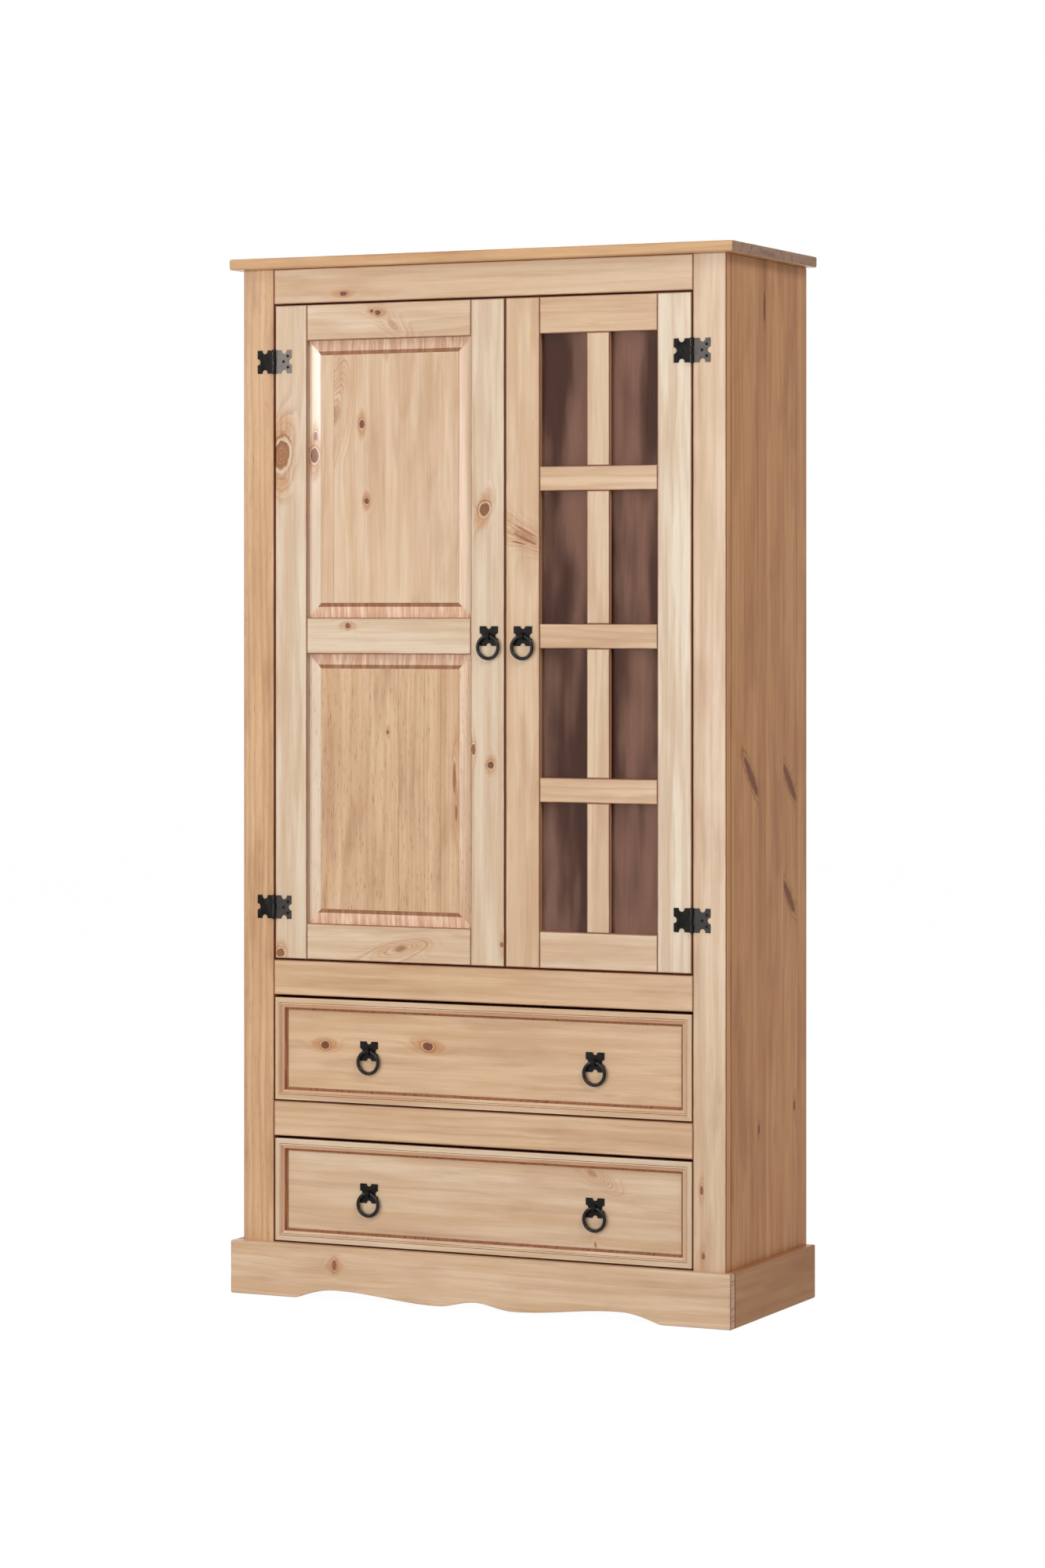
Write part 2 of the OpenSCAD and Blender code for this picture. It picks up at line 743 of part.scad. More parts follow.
// Section of the drawer moulding, from the outer edge at u inwards, as place and depth
function moulding_section(u, inward) =
    let (
        start = moulding_flat_w + moulding_step,
        round_w = moulding_w - start - moulding_lip_w,
        round_h = moulding_t - moulding_step - moulding_lip,
        points = concat(
            [[0, 0], [0, moulding_t], [moulding_flat_w, moulding_t]],
            [for (a = [0 : 15 : 90])
                [start + round_w * sin(a), moulding_lip + round_h * cos(a)]],
            [[moulding_w, moulding_lip], [moulding_w, 0]]
        )
    )
    [for (p = points) [u + inward * p[0], drawer_face_y - p[1]]];

module drawer_moulding(z0) {
    x = [-drawer_half, drawer_half];
    z = [z0, z0 + drawer_h];
    inner_x = [x[0] + moulding_w, x[1] - moulding_w];
    inner_z = [z[0] + moulding_w, z[1] - moulding_w];
    upright_z = [z[0] + joint_play, z[1] - joint_play];
    upright_inner_z = [inner_z[0] + joint_play, inner_z[1] - joint_play];
    color(front_pine) {
        for (end = [0, 1]) {
            inward = end == 0 ? 1 : -1;
            intersection() {
                run_along_z(z) polygon(moulding_section(x[end], inward));
                front_plate(drawer_face_y, moulding_t)
                    polygon([[x[end], upright_z[0]], [x[end], upright_z[1]],
                             [inner_x[end], upright_inner_z[1]],
                             [inner_x[end], upright_inner_z[0]]]);
            }
            intersection() {
                run_along_x(x)
                    polygon([for (p = moulding_section(z[end], inward)) [p[1], p[0]]]);
                front_plate(drawer_face_y, moulding_t)
                    polygon([[x[0], z[end]], [x[1], z[end]],
                             [inner_x[1], inner_z[end]], [inner_x[0], inner_z[end]]]);
            }
        }
    }
}

// Space of the drawer's bottom board, with a play round it the groove that holds it
module drawer_bottom_space(z0, play, end_play) {
    half = box_half - drawer_side_t + drawer_groove_d - joint_end_play + end_play;
    z = z0 + drawer_groove_z;
    block([-half, half],
          [frame_y[1] - drawer_groove_d + joint_end_play - end_play,
           frame_y[1] + drawer_box_l + end_play],
          [z - play, z + drawer_bottom_t + play]);
}

module drawer_front(z0) {
    color(front_pine) difference() {
        block([-drawer_half, drawer_half], [drawer_face_y, frame_y[1]], [z0, z0 + drawer_h]);
        drawer_bottom_space(z0, joint_play, joint_end_play);
        for (s = [-1, 1])
            stud_hole(s * drawer_pull_pitch / 2, drawer_face_y, z0 + drawer_h / 2);
    }
}

// Drawer back, or with a play round it the housings that hold it
module drawer_back(z0, play, end_play) {
    half = box_half - drawer_side_t + drawer_housing_d + end_play;
    rear_y = frame_y[1] + drawer_box_l - drawer_tail_l;
    block([-half, half], [rear_y - drawer_side_t - play, rear_y + play],
          [z0 + drawer_groove_z + drawer_bottom_t, z0 + drawer_side_h + play]);
}

module drawer_box(z0) {
    color(inside_pine) {
        for (left = [false, true]) on_side(left) difference() {
            block([box_half - drawer_side_t, box_half],
                  [frame_y[1], frame_y[1] + drawer_box_l], [z0, z0 + drawer_side_h]);
            drawer_bottom_space(z0, joint_play, joint_end_play);
            drawer_back(z0, joint_play, joint_end_play);
        }
        drawer_back(z0, 0, 0);
    }
}

module drawer_bottom(z0) {
    color(inside_pine) drawer_bottom_space(z0, 0, 0);
}

module drawer_pull_plates(z0) {
    color(iron) for (s = [-1, 1])
        pull_plate(s * drawer_pull_pitch / 2, drawer_face_y, z0 + drawer_h / 2);
}

module drawer_ring(z0, side) {
    pull_ring(side * drawer_pull_pitch / 2, drawer_face_y, z0 + drawer_h / 2);
}

top_board();
side_panel(true);  // side_panel_left
side_panel(false);  // side_panel_right
face_post(true);  // face_post_left
face_post(false);  // face_post_right
frame_rail(top_rail_z);  // top_rail
frame_rail(middle_rail_z);  // middle_rail
frame_rail(drawer_rail_z);  // drawer_rail
frame_rail(bottom_rail_z);  // bottom_rail
plinth_front();
plinth_returns();
inside_board(deck_top_z);  // bottom_deck
inside_board(floor_top_z);  // cupboard_floor
shelf(cross_rail_mid_z[2]);  // shelf_upper
shelf(cross_rail_mid_z[1]);  // shelf_middle
shelf(cross_rail_mid_z[0]);  // shelf_lower
shelf_battens();
back_panel();
drawer_runners();
door_catches();
frame_hinge_leaves();
hinge_pins();
frame_hinge_screws();
left_door_hinge_stile();
left_door_meeting_stile();
panelled_rail([light_z[1], door_z[1]], true, false);  // left_door_top_rail
panelled_rail(lock_rail_z, true, true);  // left_door_lock_rail
panelled_rail([door_z[0], light_z[0]], false, true);  // left_door_bottom_rail
raised_panel([lock_rail_z[1], light_z[1]]);  // left_door_upper_panel
raised_panel([light_z[0], lock_rail_z[0]]);  // left_door_lower_panel
door_hinge_leaves(-hinge_axis_x, 1);  // left_door_hinge_leaves
door_hinge_screws(-hinge_axis_x, 1);  // left_door_hinge_screws
color(iron) pull_plate(left_pull_x, front_y, lock_rail_mid_z);  // left_door_pull_plate
pull_ring(left_pull_x, front_y, lock_rail_mid_z);  // left_door_ring
glazed_stile([right_light_x[1], right_door_x[1]], true);  // right_door_hinge_stile
glazed_stile([right_door_x[0], right_light_x[0]], false);  // right_door_meeting_stile
glazed_rail(glazed_rail_z[1]);  // right_door_top_rail
glazed_rail(glazed_rail_z[0]);  // right_door_bottom_rail
cross_rails();  // right_door_cross_rails
upright_bars();  // right_door_upright_bars
glass();  // right_door_glass
glazing_beads();  // right_door_glazing_beads
door_hinge_leaves(hinge_axis_x, -1);  // right_door_hinge_leaves
door_hinge_screws(hinge_axis_x, -1);  // right_door_hinge_screws
color(iron) pull_plate(right_pull_x, front_y, lock_rail_mid_z);  // right_door_pull_plate
pull_ring(right_pull_x, front_y, lock_rail_mid_z);  // right_door_ring
drawer_front(upper_drawer_z);  // upper_drawer_front
drawer_moulding(upper_drawer_z);  // upper_drawer_moulding
drawer_box(upper_drawer_z);  // upper_drawer_box
drawer_bottom(upper_drawer_z);  // upper_drawer_bottom
drawer_pull_plates(upper_drawer_z);  // upper_drawer_pull_plates
drawer_ring(upper_drawer_z, -1);  // upper_drawer_ring_left
drawer_ring(upper_drawer_z, 1);  // upper_drawer_ring_right
drawer_front(lower_drawer_z);  // lower_drawer_front
drawer_moulding(lower_drawer_z);  // lower_drawer_moulding
drawer_box(lower_drawer_z);  // lower_drawer_box
drawer_bottom(lower_drawer_z);  // lower_drawer_bottom
drawer_pull_plates(lower_drawer_z);  // lower_drawer_pull_plates
drawer_ring(lower_drawer_z, -1);  // lower_drawer_ring_left
drawer_ring(lower_drawer_z, 1);  // lower_drawer_ring_right
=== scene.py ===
"""A pine display cabinet with a panelled door, a glazed door and two drawers."""
import math
from collections import namedtuple

import bpy
from bpy.props import FloatProperty, FloatVectorProperty, PointerProperty
from mathutils import Matrix, Vector


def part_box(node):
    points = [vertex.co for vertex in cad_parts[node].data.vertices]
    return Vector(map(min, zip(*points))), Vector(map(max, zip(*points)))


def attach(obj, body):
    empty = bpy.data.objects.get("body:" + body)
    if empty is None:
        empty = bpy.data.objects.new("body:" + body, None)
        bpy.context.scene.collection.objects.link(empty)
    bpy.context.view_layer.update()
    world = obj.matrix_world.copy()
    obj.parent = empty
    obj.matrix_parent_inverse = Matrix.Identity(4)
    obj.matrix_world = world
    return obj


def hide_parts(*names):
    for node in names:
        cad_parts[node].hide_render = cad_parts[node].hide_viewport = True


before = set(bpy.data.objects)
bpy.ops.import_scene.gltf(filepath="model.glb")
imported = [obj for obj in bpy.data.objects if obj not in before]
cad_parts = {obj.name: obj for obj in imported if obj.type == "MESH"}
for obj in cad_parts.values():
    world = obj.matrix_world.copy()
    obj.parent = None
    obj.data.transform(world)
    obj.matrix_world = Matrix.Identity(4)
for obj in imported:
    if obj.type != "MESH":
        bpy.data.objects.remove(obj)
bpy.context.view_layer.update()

bl_info = {
    "name": "Pine display cabinet",
    "version": (1, 0, 0),
    "blender": (4, 5, 0),
    "location": "View3D > Sidebar > Cabinet",
    "description": "Builds the boards, doors, drawers and iron fittings of a waxed pine cabinet",
    "category": "Object",
}

MM = 0.001


def mm(*numbers):
    """A place or a size that is given in mm."""
    return Vector(numbers) * MM


def screen(red, green, blue):
    """The linear colour of three screen values from 0 to 255."""
    def linear(value):
        value /= 255
        return value / 12.92 if value < 0.04045 else ((value + 0.055) / 1.055) ** 2.4
    return linear(red), linear(green), linear(blue)


def colour(name, description, default):
    return FloatVectorProperty(name=name, description=description, default=default, size=3,
                               min=0, max=1, subtype="COLOR")


def length(name, description, default):
    return FloatProperty(name=name, description=description, default=default * MM, min=0,
                         unit="LENGTH", precision=4)


def power(name, description, default):
    return FloatProperty(name=name, description=description, default=default, min=0, unit="POWER")


def share(name, description, default):
    return FloatProperty(name=name, description=description, default=default, min=0, max=1,
                         subtype="FACTOR")


class CabinetPine(bpy.types.PropertyGroup):
    """Colours and figure of the waxed pine."""
    palest: colour("Palest wood", "Spring growth of the glazed door's hinge stile",
                   screen(238, 221, 198))
    pale: colour("Pale wood", "Spring growth of fresh boards", screen(231, 211, 186))
    middle: colour("Honey wood", "Broad bands of fresh boards", screen(217, 188, 156))
    late: colour("Summer growth", "Dark rings of fresh boards", screen(184, 139, 102))
    deep_pale: colour("Deep pale wood", "Spring growth of deeply waxed boards", screen(223, 177, 129))
    deep_middle: colour("Deep honey wood", "Bands of deeply waxed boards", screen(210, 163, 117))
    deep_late: colour("Deep summer growth", "Dark rings of deeply waxed boards", screen(162, 110, 72))
    # The sides' tones are deeper and browner than the front's. They are partly painted shade, for the
    # dim warm light on the sides
    side_painted_shade_pale: colour("Pale wood of the sides", "Spring growth of the sides", screen(217, 162, 112))
    side_painted_shade_middle: colour("Honey wood of the sides", "Bands of the sides", screen(204, 144, 97))
    side_painted_shade_late: colour("Summer growth of the sides", "Dark rings of the sides", screen(158, 100, 60))
    knot: colour("Knots", "Heart of a knot", screen(94, 44, 25))
    halo: colour("Round a knot", "Resin-rich wood round a knot", screen(200, 138, 86))
    end_pale: colour("Pale end grain", "Light streaks of cut ends", screen(224, 188, 160))
    end_dark: colour("Dark end grain", "Deep streaks of cut ends", screen(172, 120, 90))
    top_end_pale: colour("Pale end of the top", "Light streaks of the top board's ends",
                         screen(172, 136, 112))
    top_end_dark: colour("Dark end of the top", "Deep streaks of the top board's ends",
                         screen(124, 90, 72))
    bevel_pale: colour("Pale bevel", "Light streaks of the panels' bevelled ends", screen(242, 213, 187))
    bevel_dark: colour("Dark bevel", "Deep streaks of the panels' bevelled ends", screen(197, 148, 117))
    # Painted shade: the moulding tones below darken the inner slopes that face down or right, away from
    # the light
    moulding_painted_shade_pale: colour("Pale moulding", "Spring growth of the slopes that face down or right",
                          screen(218, 172, 136))
    moulding_painted_shade_middle: colour("Honey moulding", "Bands of the slopes that face down or right",
                            screen(204, 154, 120))
    # The groove tones below are partly wax gathered in the hollows and partly painted shade of the
    # grooves and recesses
    groove_pale: colour("Pale grooves", "Light streaks in the grooves", screen(168, 112, 78))
    groove: colour("Grooves", "Wax gathered in the grooves of the profiles", screen(128, 80, 56))
    joint: colour("Joint line", "Film of wax gathered in the joints", screen(152, 88, 62))
    inside: colour("Inside", "Unwaxed pine inside the cabinet", screen(214, 180, 142))
    ring: length("Ring width", "Width of one year's growth", 7)
    roughness: share("Roughness", "Roughness of the waxed face", 0.34)


class CabinetForm(bpy.types.PropertyGroup):
    """Sizes of the edges and profiles that the hand sees."""
    board_ease: length("Board edge", "Rounding along the edges of rails, stiles and posts", 0.9)
    side_ease: length("Side panel edge", "Rounding of the side panels", 1.6)
    top_ease: length("Top edge", "Rounding of the top board", 3.2)
    plinth_ease: length("Plinth edge", "Rounding along the plinth's top", 2.6)
    bar_ease: length("Bar edge", "Rounding of the bars in front of the glass", 1.3)
    panel_ease: length("Panel edge", "Rounding of the raised panels' edges", 0.3)
    moulding_ease: length("Moulding edge", "Rounding of the moulding's edges", 0.2)
    glass_ease: length("Glass edge", "Rounding of the pane", 0.4)
    inside_ease: length("Inside edge", "Rounding of the boards inside", 0.8)
    thin_ease: length("Thin edge", "Rounding of boards inside that are under 10 mm", 0.3)
    drawer_gap: length("Drawer gap", "Extra gap above each drawer front", 2)
    plate_ease: length("Plate edge", "Rounding of the pull plates and hinge leaves", 0.35)
    catch_ease: length("Catch edge", "Rounding of the door catches", 0.3)


class CabinetMetal(bpy.types.PropertyGroup):
    """Colours of the iron and the glass."""
    iron: colour("Black iron", "Black finish of the fittings", screen(20, 17, 15))
    worn: colour("Worn iron", "Where the black finish is rubbed", screen(46, 41, 37))
    # Painted reflections: the three greys below stand in for the light caught by the hinge leaves that
    # reach right of their axis
    grey: colour("Grey iron", "Lower door leaves, rubbed dark grey", screen(68, 64, 61))
    bright: colour("Bright iron", "Upper frame leaf, rubbed grey", screen(108, 102, 98))
    rubbed: colour("Rubbed iron", "Upper door leaf, rubbed light grey", screen(136, 128, 123))
    glass: colour("Glass", "Tint of the panes", screen(200, 146, 122))


class CabinetLight(bpy.types.PropertyGroup):
    """Light of the studio."""
    key: power("Key", "Power of the soft light at the left", 36)
    front: power("Front", "Power of the soft light in front", 71)
    side: power("Side", "Power of the soft light at the right", 86)
    rear: power("Rear", "Power of the soft light behind", 60)
    ambient: share("Ambient", "Light from all round", 0.27)


GROUPS = {
    "cabinet_pine": CabinetPine,
    "cabinet_form": CabinetForm,
    "cabinet_metal": CabinetMetal,
    "cabinet_light": CabinetLight,
}


# Modelling by hand

def clear_selection():
    bpy.ops.object.select_all(action="DESELECT")


def take(piece):
    """Selects one piece alone."""
    clear_selection()
    piece.select_set(True)
    bpy.context.view_layer.objects.active = piece


def settle(name):
    """Names the new primitive and puts its place into its mesh."""
    piece = bpy.context.object
    piece.name = name
    piece.data.name = name
    bpy.ops.object.transform_apply(location=True, rotation=True, scale=True)
    return piece


def add_block(name, low, high):
    """Adds a cube stretched between two corners."""
    low, high = Vector(low), Vector(high)
    clear_selection()
    bpy.ops.mesh.primitive_cube_add(size=1, location=(low + high) / 2)
    bpy.context.object.scale = high - low
    return settle(name)


def add_rod(name, centre, radius, depth, axis="Y", sides=32):
    """Adds a cylinder along one axis."""
    turn = {"X": (0, math.pi / 2, 0), "Y": (math.pi / 2, 0, 0), "Z": (0, 0, 0)}[axis]
    clear_selection()
    bpy.ops.mesh.primitive_cylinder_add(vertices=sides, radius=radius, depth=depth,
                                        location=centre, rotation=turn)
    return settle(name)


def use_modifier(piece, kind, **settings):
    """Adds a modifier and applies it."""
    take(piece)
    modifier = piece.modifiers.new(kind.title(), kind)
    for key, value in settings.items():
        setattr(modifier, key, value)
    bpy.ops.object.modifier_apply(modifier=modifier.name)


def merge(piece, other, operation):
    """Joins another solid to the piece or cuts it away, and removes the other."""
    use_modifier(piece, "BOOLEAN", object=other, operation=operation, solver="EXACT")
    bpy.data.objects.remove(other)


def pick_faces(piece, wanted):
    """Enters edit mode with the wanted faces selected."""
    take(piece)
    bpy.context.tool_settings.mesh_select_mode = (False, False, True)
    bpy.ops.object.mode_set(mode="EDIT")
    bpy.ops.mesh.select_all(action="DESELECT")
    bpy.ops.object.mode_set(mode="OBJECT")
    for face in piece.data.polygons:
        face.select = wanted(face)
    bpy.ops.object.mode_set(mode="EDIT")


def leave_edit():
    bpy.ops.object.mode_set(mode="OBJECT")


def inset_front(piece, steps):
    """Insets the front face step by step, each time by a width and a rise in mm."""
    pick_faces(piece, lambda face: face.normal.y < -0.9)
    for width, rise in steps:
        bpy.ops.mesh.inset(thickness=width * MM, depth=rise * MM)
    leave_edit()


def turn_outwards(piece):
    """Recalculates the normals so that they point out."""
    take(piece)
    bpy.ops.object.mode_set(mode="EDIT")
    bpy.ops.mesh.select_all(action="SELECT")
    bpy.ops.mesh.normals_make_consistent(inside=False)
    leave_edit()


def round_edges(piece, width, segments=2, angle=35):
    use_modifier(piece, "BEVEL", width=width, segments=segments, limit_method="ANGLE",
                 angle_limit=math.radians(angle), use_clamp_overlap=True)


def smooth(piece, angle=32):
    """Smooths the rounded edges and keeps the broad faces flat."""
    take(piece)
    bpy.ops.object.shade_smooth_by_angle(angle=math.radians(angle))
    use_modifier(piece, "WEIGHTED_NORMAL", weight=50, keep_sharp=True)


def copy_piece(piece, name, move=(0, 0, 0), mirror=(1, 1, 1)):
    """Copies a piece with its own mesh, mirrored about the origin and then moved."""
    copy = piece.copy()
    copy.data = piece.data.copy()
    copy.name = name
    copy.data.name = name
    bpy.context.scene.collection.objects.link(copy)
    copy.data.transform(Matrix.Translation(Vector(move)) @ Matrix.Diagonal((*mirror, 1)))
    if mirror[0] * mirror[1] * mirror[2] < 0:
        copy.data.flip_normals()
    return copy


def place(piece, body, slot, nodes=()):
    """Attaches the piece to the body that it rides on, and hides the CAD nodes that it replaces; the
    slot is not used.
    """
    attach(piece, body)
    if nodes:
        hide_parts(*nodes)
    return piece


# Node trees

class Value:
    """An output in a node tree. Sums with it add the Math nodes that work them out."""

    def __init__(self, nodes, socket):
        self.nodes = nodes
        self.socket = socket

    def __add__(self, other):
        return self.nodes.math("ADD", self, other)

    def __sub__(self, other):
        return self.nodes.math("SUBTRACT", self, other)

    def __rsub__(self, other):
        return self.nodes.math("SUBTRACT", other, self)

    def __mul__(self, other):
        return self.nodes.math("MULTIPLY", self, other)

    def __truediv__(self, other):
        return self.nodes.math("DIVIDE", self, other)

    def __rtruediv__(self, other):
        return self.nodes.math("DIVIDE", other, self)

    def __pow__(self, other):
        return self.nodes.math("POWER", self, other)

    def __abs__(self):
        return self.nodes.math("ABSOLUTE", self)


def is_output(value):
    return isinstance(value, (Value, bpy.types.NodeSocket))


def rgba(value):
    """A colour with full alpha. An output stays as it is."""
    return value if is_output(value) else (*tuple(value)[:3], 1.0)


class Nodes:
    """Adds and links nodes in one tree."""

    def __init__(self, tree):
        self.tree = tree

    def feed(self, socket, value):
        """Links an output to the socket, or sets its value."""
        if is_output(value):
            self.tree.links.new(getattr(value, "socket", value), socket)
        else:
            socket.default_value = value

    def new(self, kind, **settings):
        node = self.tree.nodes.new("ShaderNode" + kind)
        for key, value in settings.items():
            setattr(node, key, value)
        return node

    def outputs(self, node):
        """The outputs of a node, by their names."""
        return {socket.name: Value(self, socket) for socket in node.outputs}

    def filled(self, node, values):
        """The first output of a node whose inputs take these values in turn."""
        for socket, value in zip(node.inputs, values):
            self.feed(socket, value)
        return Value(self, node.outputs[0])

    def math(self, operation, *values, clamp=False):
        return self.filled(self.new("Math", operation=operation, use_clamp=clamp), values)

    def most(self, first, second, clamp=False):
        return self.math("MAXIMUM", first, second, clamp=clamp)

    def least(self, first, second):
        return self.math("MINIMUM", first, second)

    def vector(self, operation, *values):
        return self.filled(self.new("VectorMath", operation=operation), values)

    def distance(self, x, y):
        """How far a place in a plane lies from the origin."""
        node = self.new("VectorMath", operation="LENGTH")
        self.feed(node.inputs[0], self.join(x, y, 0.0))
        return Value(self, node.outputs["Value"])

    def join(self, x, y, z):
        return self.filled(self.new("CombineXYZ"), (x, y, z))

    def split(self, vector):
        node = self.new("SeparateXYZ")
        self.feed(node.inputs[0], vector)
        return [Value(self, socket) for socket in node.outputs]

    def noise(self, vector, detail=2.0, roughness=0.5, scale=None, output="Fac"):
        """Noise at this vector, which is first multiplied by the scale."""
        node = self.new("TexNoise")
        place = self.vector("MULTIPLY", vector, scale) if scale else vector
        for key, value in (("Vector", place), ("Scale", 1.0), ("Detail", detail),
                           ("Roughness", roughness)):
            self.feed(node.inputs[key], value)
        return self.outputs(node)[output]

    def chance(self, value):
        """Three random values that change with a number."""
        node = self.new("TexWhiteNoise", noise_dimensions="1D")
        self.feed(node.inputs["W"], value)
        return self.split(node.outputs["Color"])

    def step(self, value, low, high, start=0.0, stop=1.0):
        """A smooth step from start to stop between low and high."""
        node = self.new("MapRange", interpolation_type="SMOOTHSTEP")
        for key, given in zip(("Value", "From Min", "From Max", "To Min", "To Max"),
                              (value, low, high, start, stop)):
            self.feed(node.inputs[key], given)
        return Value(self, node.outputs[0])

    def fade(self, value, low, high):
        """A smooth step down from 1 to 0."""
        return self.step(value, low, high, 1.0, 0.0)

    def blend(self, share_of_b, a, b, mode="MIX"):
        node = self.new("Mix", data_type="RGBA", blend_type=mode)
        self.feed(node.inputs[0], share_of_b)
        for socket, value in zip(node.inputs[6:8], (a, b)):
            self.feed(socket, rgba(value))
        return Value(self, node.outputs[2])

    def group(self, name, **values):
        """Places a shared node group. An underscore in a key stands for a space."""
        node = self.new("Group")
        node.node_tree = bpy.data.node_groups[name]
        for key, value in values.items():
            socket = node.inputs[key.replace("_", " ")]
            self.feed(socket, rgba(value) if socket.type == "RGBA" else value)
        return self.outputs(node)


SOCKETS = {"value": "NodeSocketFloat", "vector": "NodeSocketVector", "colour": "NodeSocketColor"}
WHITE = (1, 1, 1)
NOWHERE = (0, 0, 0)


def start_group(name, inputs, outputs):
    """Makes a shader node group with named sockets, and returns its nodes, inputs and outputs.

    The inputs are given as (name, default). A default of three numbers makes a vector where the
    name is that of a place, and a colour elsewhere.
    """
    tree = bpy.data.node_groups.new(name, "ShaderNodeTree")
    for label, default in inputs:
        kind = "value" if isinstance(default, (int, float)) else "colour"
        kind = "vector" if label in ("Vector", "Centre") else kind
        socket = tree.interface.new_socket(label, in_out="INPUT", socket_type=SOCKETS[kind])
        socket.default_value = rgba(default) if kind == "colour" else default
    for label in outputs:
        kind = "colour" if label == "Color" else "value"
        tree.interface.new_socket(label, in_out="OUTPUT", socket_type=SOCKETS[kind])
    nodes = Nodes(tree)
    given = nodes.outputs(tree.nodes.new("NodeGroupInput"))
    result = tree.nodes.new("NodeGroupOutput").inputs
    return nodes, given, result


def finish_group(nodes, result, **values):
    for key, value in values.items():
        nodes.feed(result[key], value)


def about(value, amount):
    """Turns a value from 0 to 1 into one from minus to plus half the amount."""
    return (value - 0.5) * amount


def make_pine_group():
    """Long grain of a sawn board: rings round a wandering pith, fibres, resin and knots."""
    nodes, given, result = start_group("Pine", [
        ("Vector", NOWHERE), ("Seed", 0), ("Pith Across", 0), ("Pith Depth", 60),
        ("Ring Width", 7), ("Wander", 12), ("Contrast", 0.5), ("Bands", 0.5), ("Fibres", 0.5),
        ("Resin", 0.2), ("Pale", WHITE), ("Middle", WHITE), ("Late", WHITE),
        ("Knot Colour", WHITE), ("Halo Colour", WHITE), ("Knot", 0), ("Halo", 0), ("Swirl", 0),
        ("Roughness", 0.4), ("Fineness", 1), ("Variety", 0.06),
    ], ("Color", "Roughness", "Height"))
    place, seed, fine = given["Vector"], given["Seed"], given["Fineness"]
    luck = nodes.chance(seed)
    shift = nodes.join(seed * 13.1, seed * 7.7, seed * 29.3)
    banded = nodes.vector("MULTIPLY", place, nodes.join(fine, fine, 1.0))

    def drawn(across, along, detail, roughness=0.5, vector=place, output="Fac"):
        """Noise that is drawn out along the grain, with its scales per mm across and along."""
        scaled = nodes.vector("MULTIPLY", vector, (across, across, along))
        return nodes.noise(nodes.vector("ADD", scaled, shift), detail, roughness, output=output)

    # Rings, counted outwards from a pith that wanders along the board
    x, y, z = nodes.split(place)
    slow = nodes.split(drawn(0.006, 0.0016, 1.5, output="Color"))
    wander = given["Wander"] * 2
    across = x - given["Pith Across"] + about(luck[0], 50) + about(slow[0], wander)
    depth = y - given["Pith Depth"] + about(slow[1], wander)
    radius = nodes.distance(across, depth)
    growth = nodes.noise(nodes.join(radius * 0.045, seed, 0.0), 1)
    waves = drawn(0.05, 0.008, 2)
    field = radius / given["Ring Width"] + about(growth, 2.4) + about(waves, 0.9) + given["Swirl"]
    phase = nodes.math("FRACT", field)
    year = nodes.chance(nodes.math("FLOOR", field) + seed)
    late = nodes.step(phase, 0.3, 0.86) * nodes.fade(phase, 0.88, 1.0) * (year[0] * 0.8 + 0.35)
    crowded = nodes.least(given["Swirl"], 2.0)
    figure = crowded * 0.2 + given["Contrast"]

    # Broad bands and clouds of honey and summer wood
    broad = nodes.step(drawn(0.05, 0.0026, 3, 0.6, banded), 0.36, 0.64)
    broad = nodes.math("ADD", broad, about(year[1], 0.45), clamp=True)
    tint = nodes.blend(broad, given["Pale"], given["Middle"])
    cloud = nodes.step(drawn(0.028, 0.0055, 3, 0.55, banded), 0.5, 0.72)
    streak = nodes.step(drawn(0.12, 0.003, 3, 0.6, banded), 0.5, 0.76)
    smoke = cloud * 0.42 + streak * 0.26
    tint = nodes.blend(smoke * given["Bands"], tint, given["Late"])
    tint = nodes.blend(late * figure, tint, given["Late"])

    # Warmth, and brightness that deepens the colour where it falls
    warmth = about(drawn(0.035, 0.003, 2, vector=banded), 0.12) + 1.0
    tint = nodes.vector("MULTIPLY", tint, nodes.join(1.0, 1.0, warmth))
    flame = drawn(0.022, 0.011, 2)
    fibre = drawn(0.9, 0.012, 3, 0.6)
    brightness = about(fibre, given["Fibres"] * 0.5) + 1.0 + about(flame, 0.15)
    brightness = brightness + about(luck[1], given["Variety"])
    deeper = [brightness ** power for power in (0.75, 1.05, 1.5)]
    tint = nodes.vector("MULTIPLY", tint, nodes.join(*deeper))

    # Short dashes of resin, then the knots over all
    dash = nodes.step(drawn(1.3, 0.045, 1), 0.66, 0.74) * given["Resin"]
    tint = nodes.blend(dash, tint, nodes.blend(0.45, given["Late"], given["Knot Colour"]))
    feather = nodes.step(drawn(0.22, 0.03, 2, 0.6), 0.3, 0.62, 0.5, 1.0)
    halo = given["Halo"] * feather * 1.5
    halo = nodes.most(halo, nodes.step(given["Knot"], 0.0, 0.4), clamp=True)
    tint = nodes.blend(halo, tint, given["Halo Colour"])
    tint = nodes.blend(given["Knot"], tint, given["Knot Colour"])
    gloss = given["Roughness"] + about(fibre, 0.2)
    finish_group(nodes, result, Color=tint, Roughness=gloss - late * 0.06,
                 Height=late * 0.35 + fibre - dash)


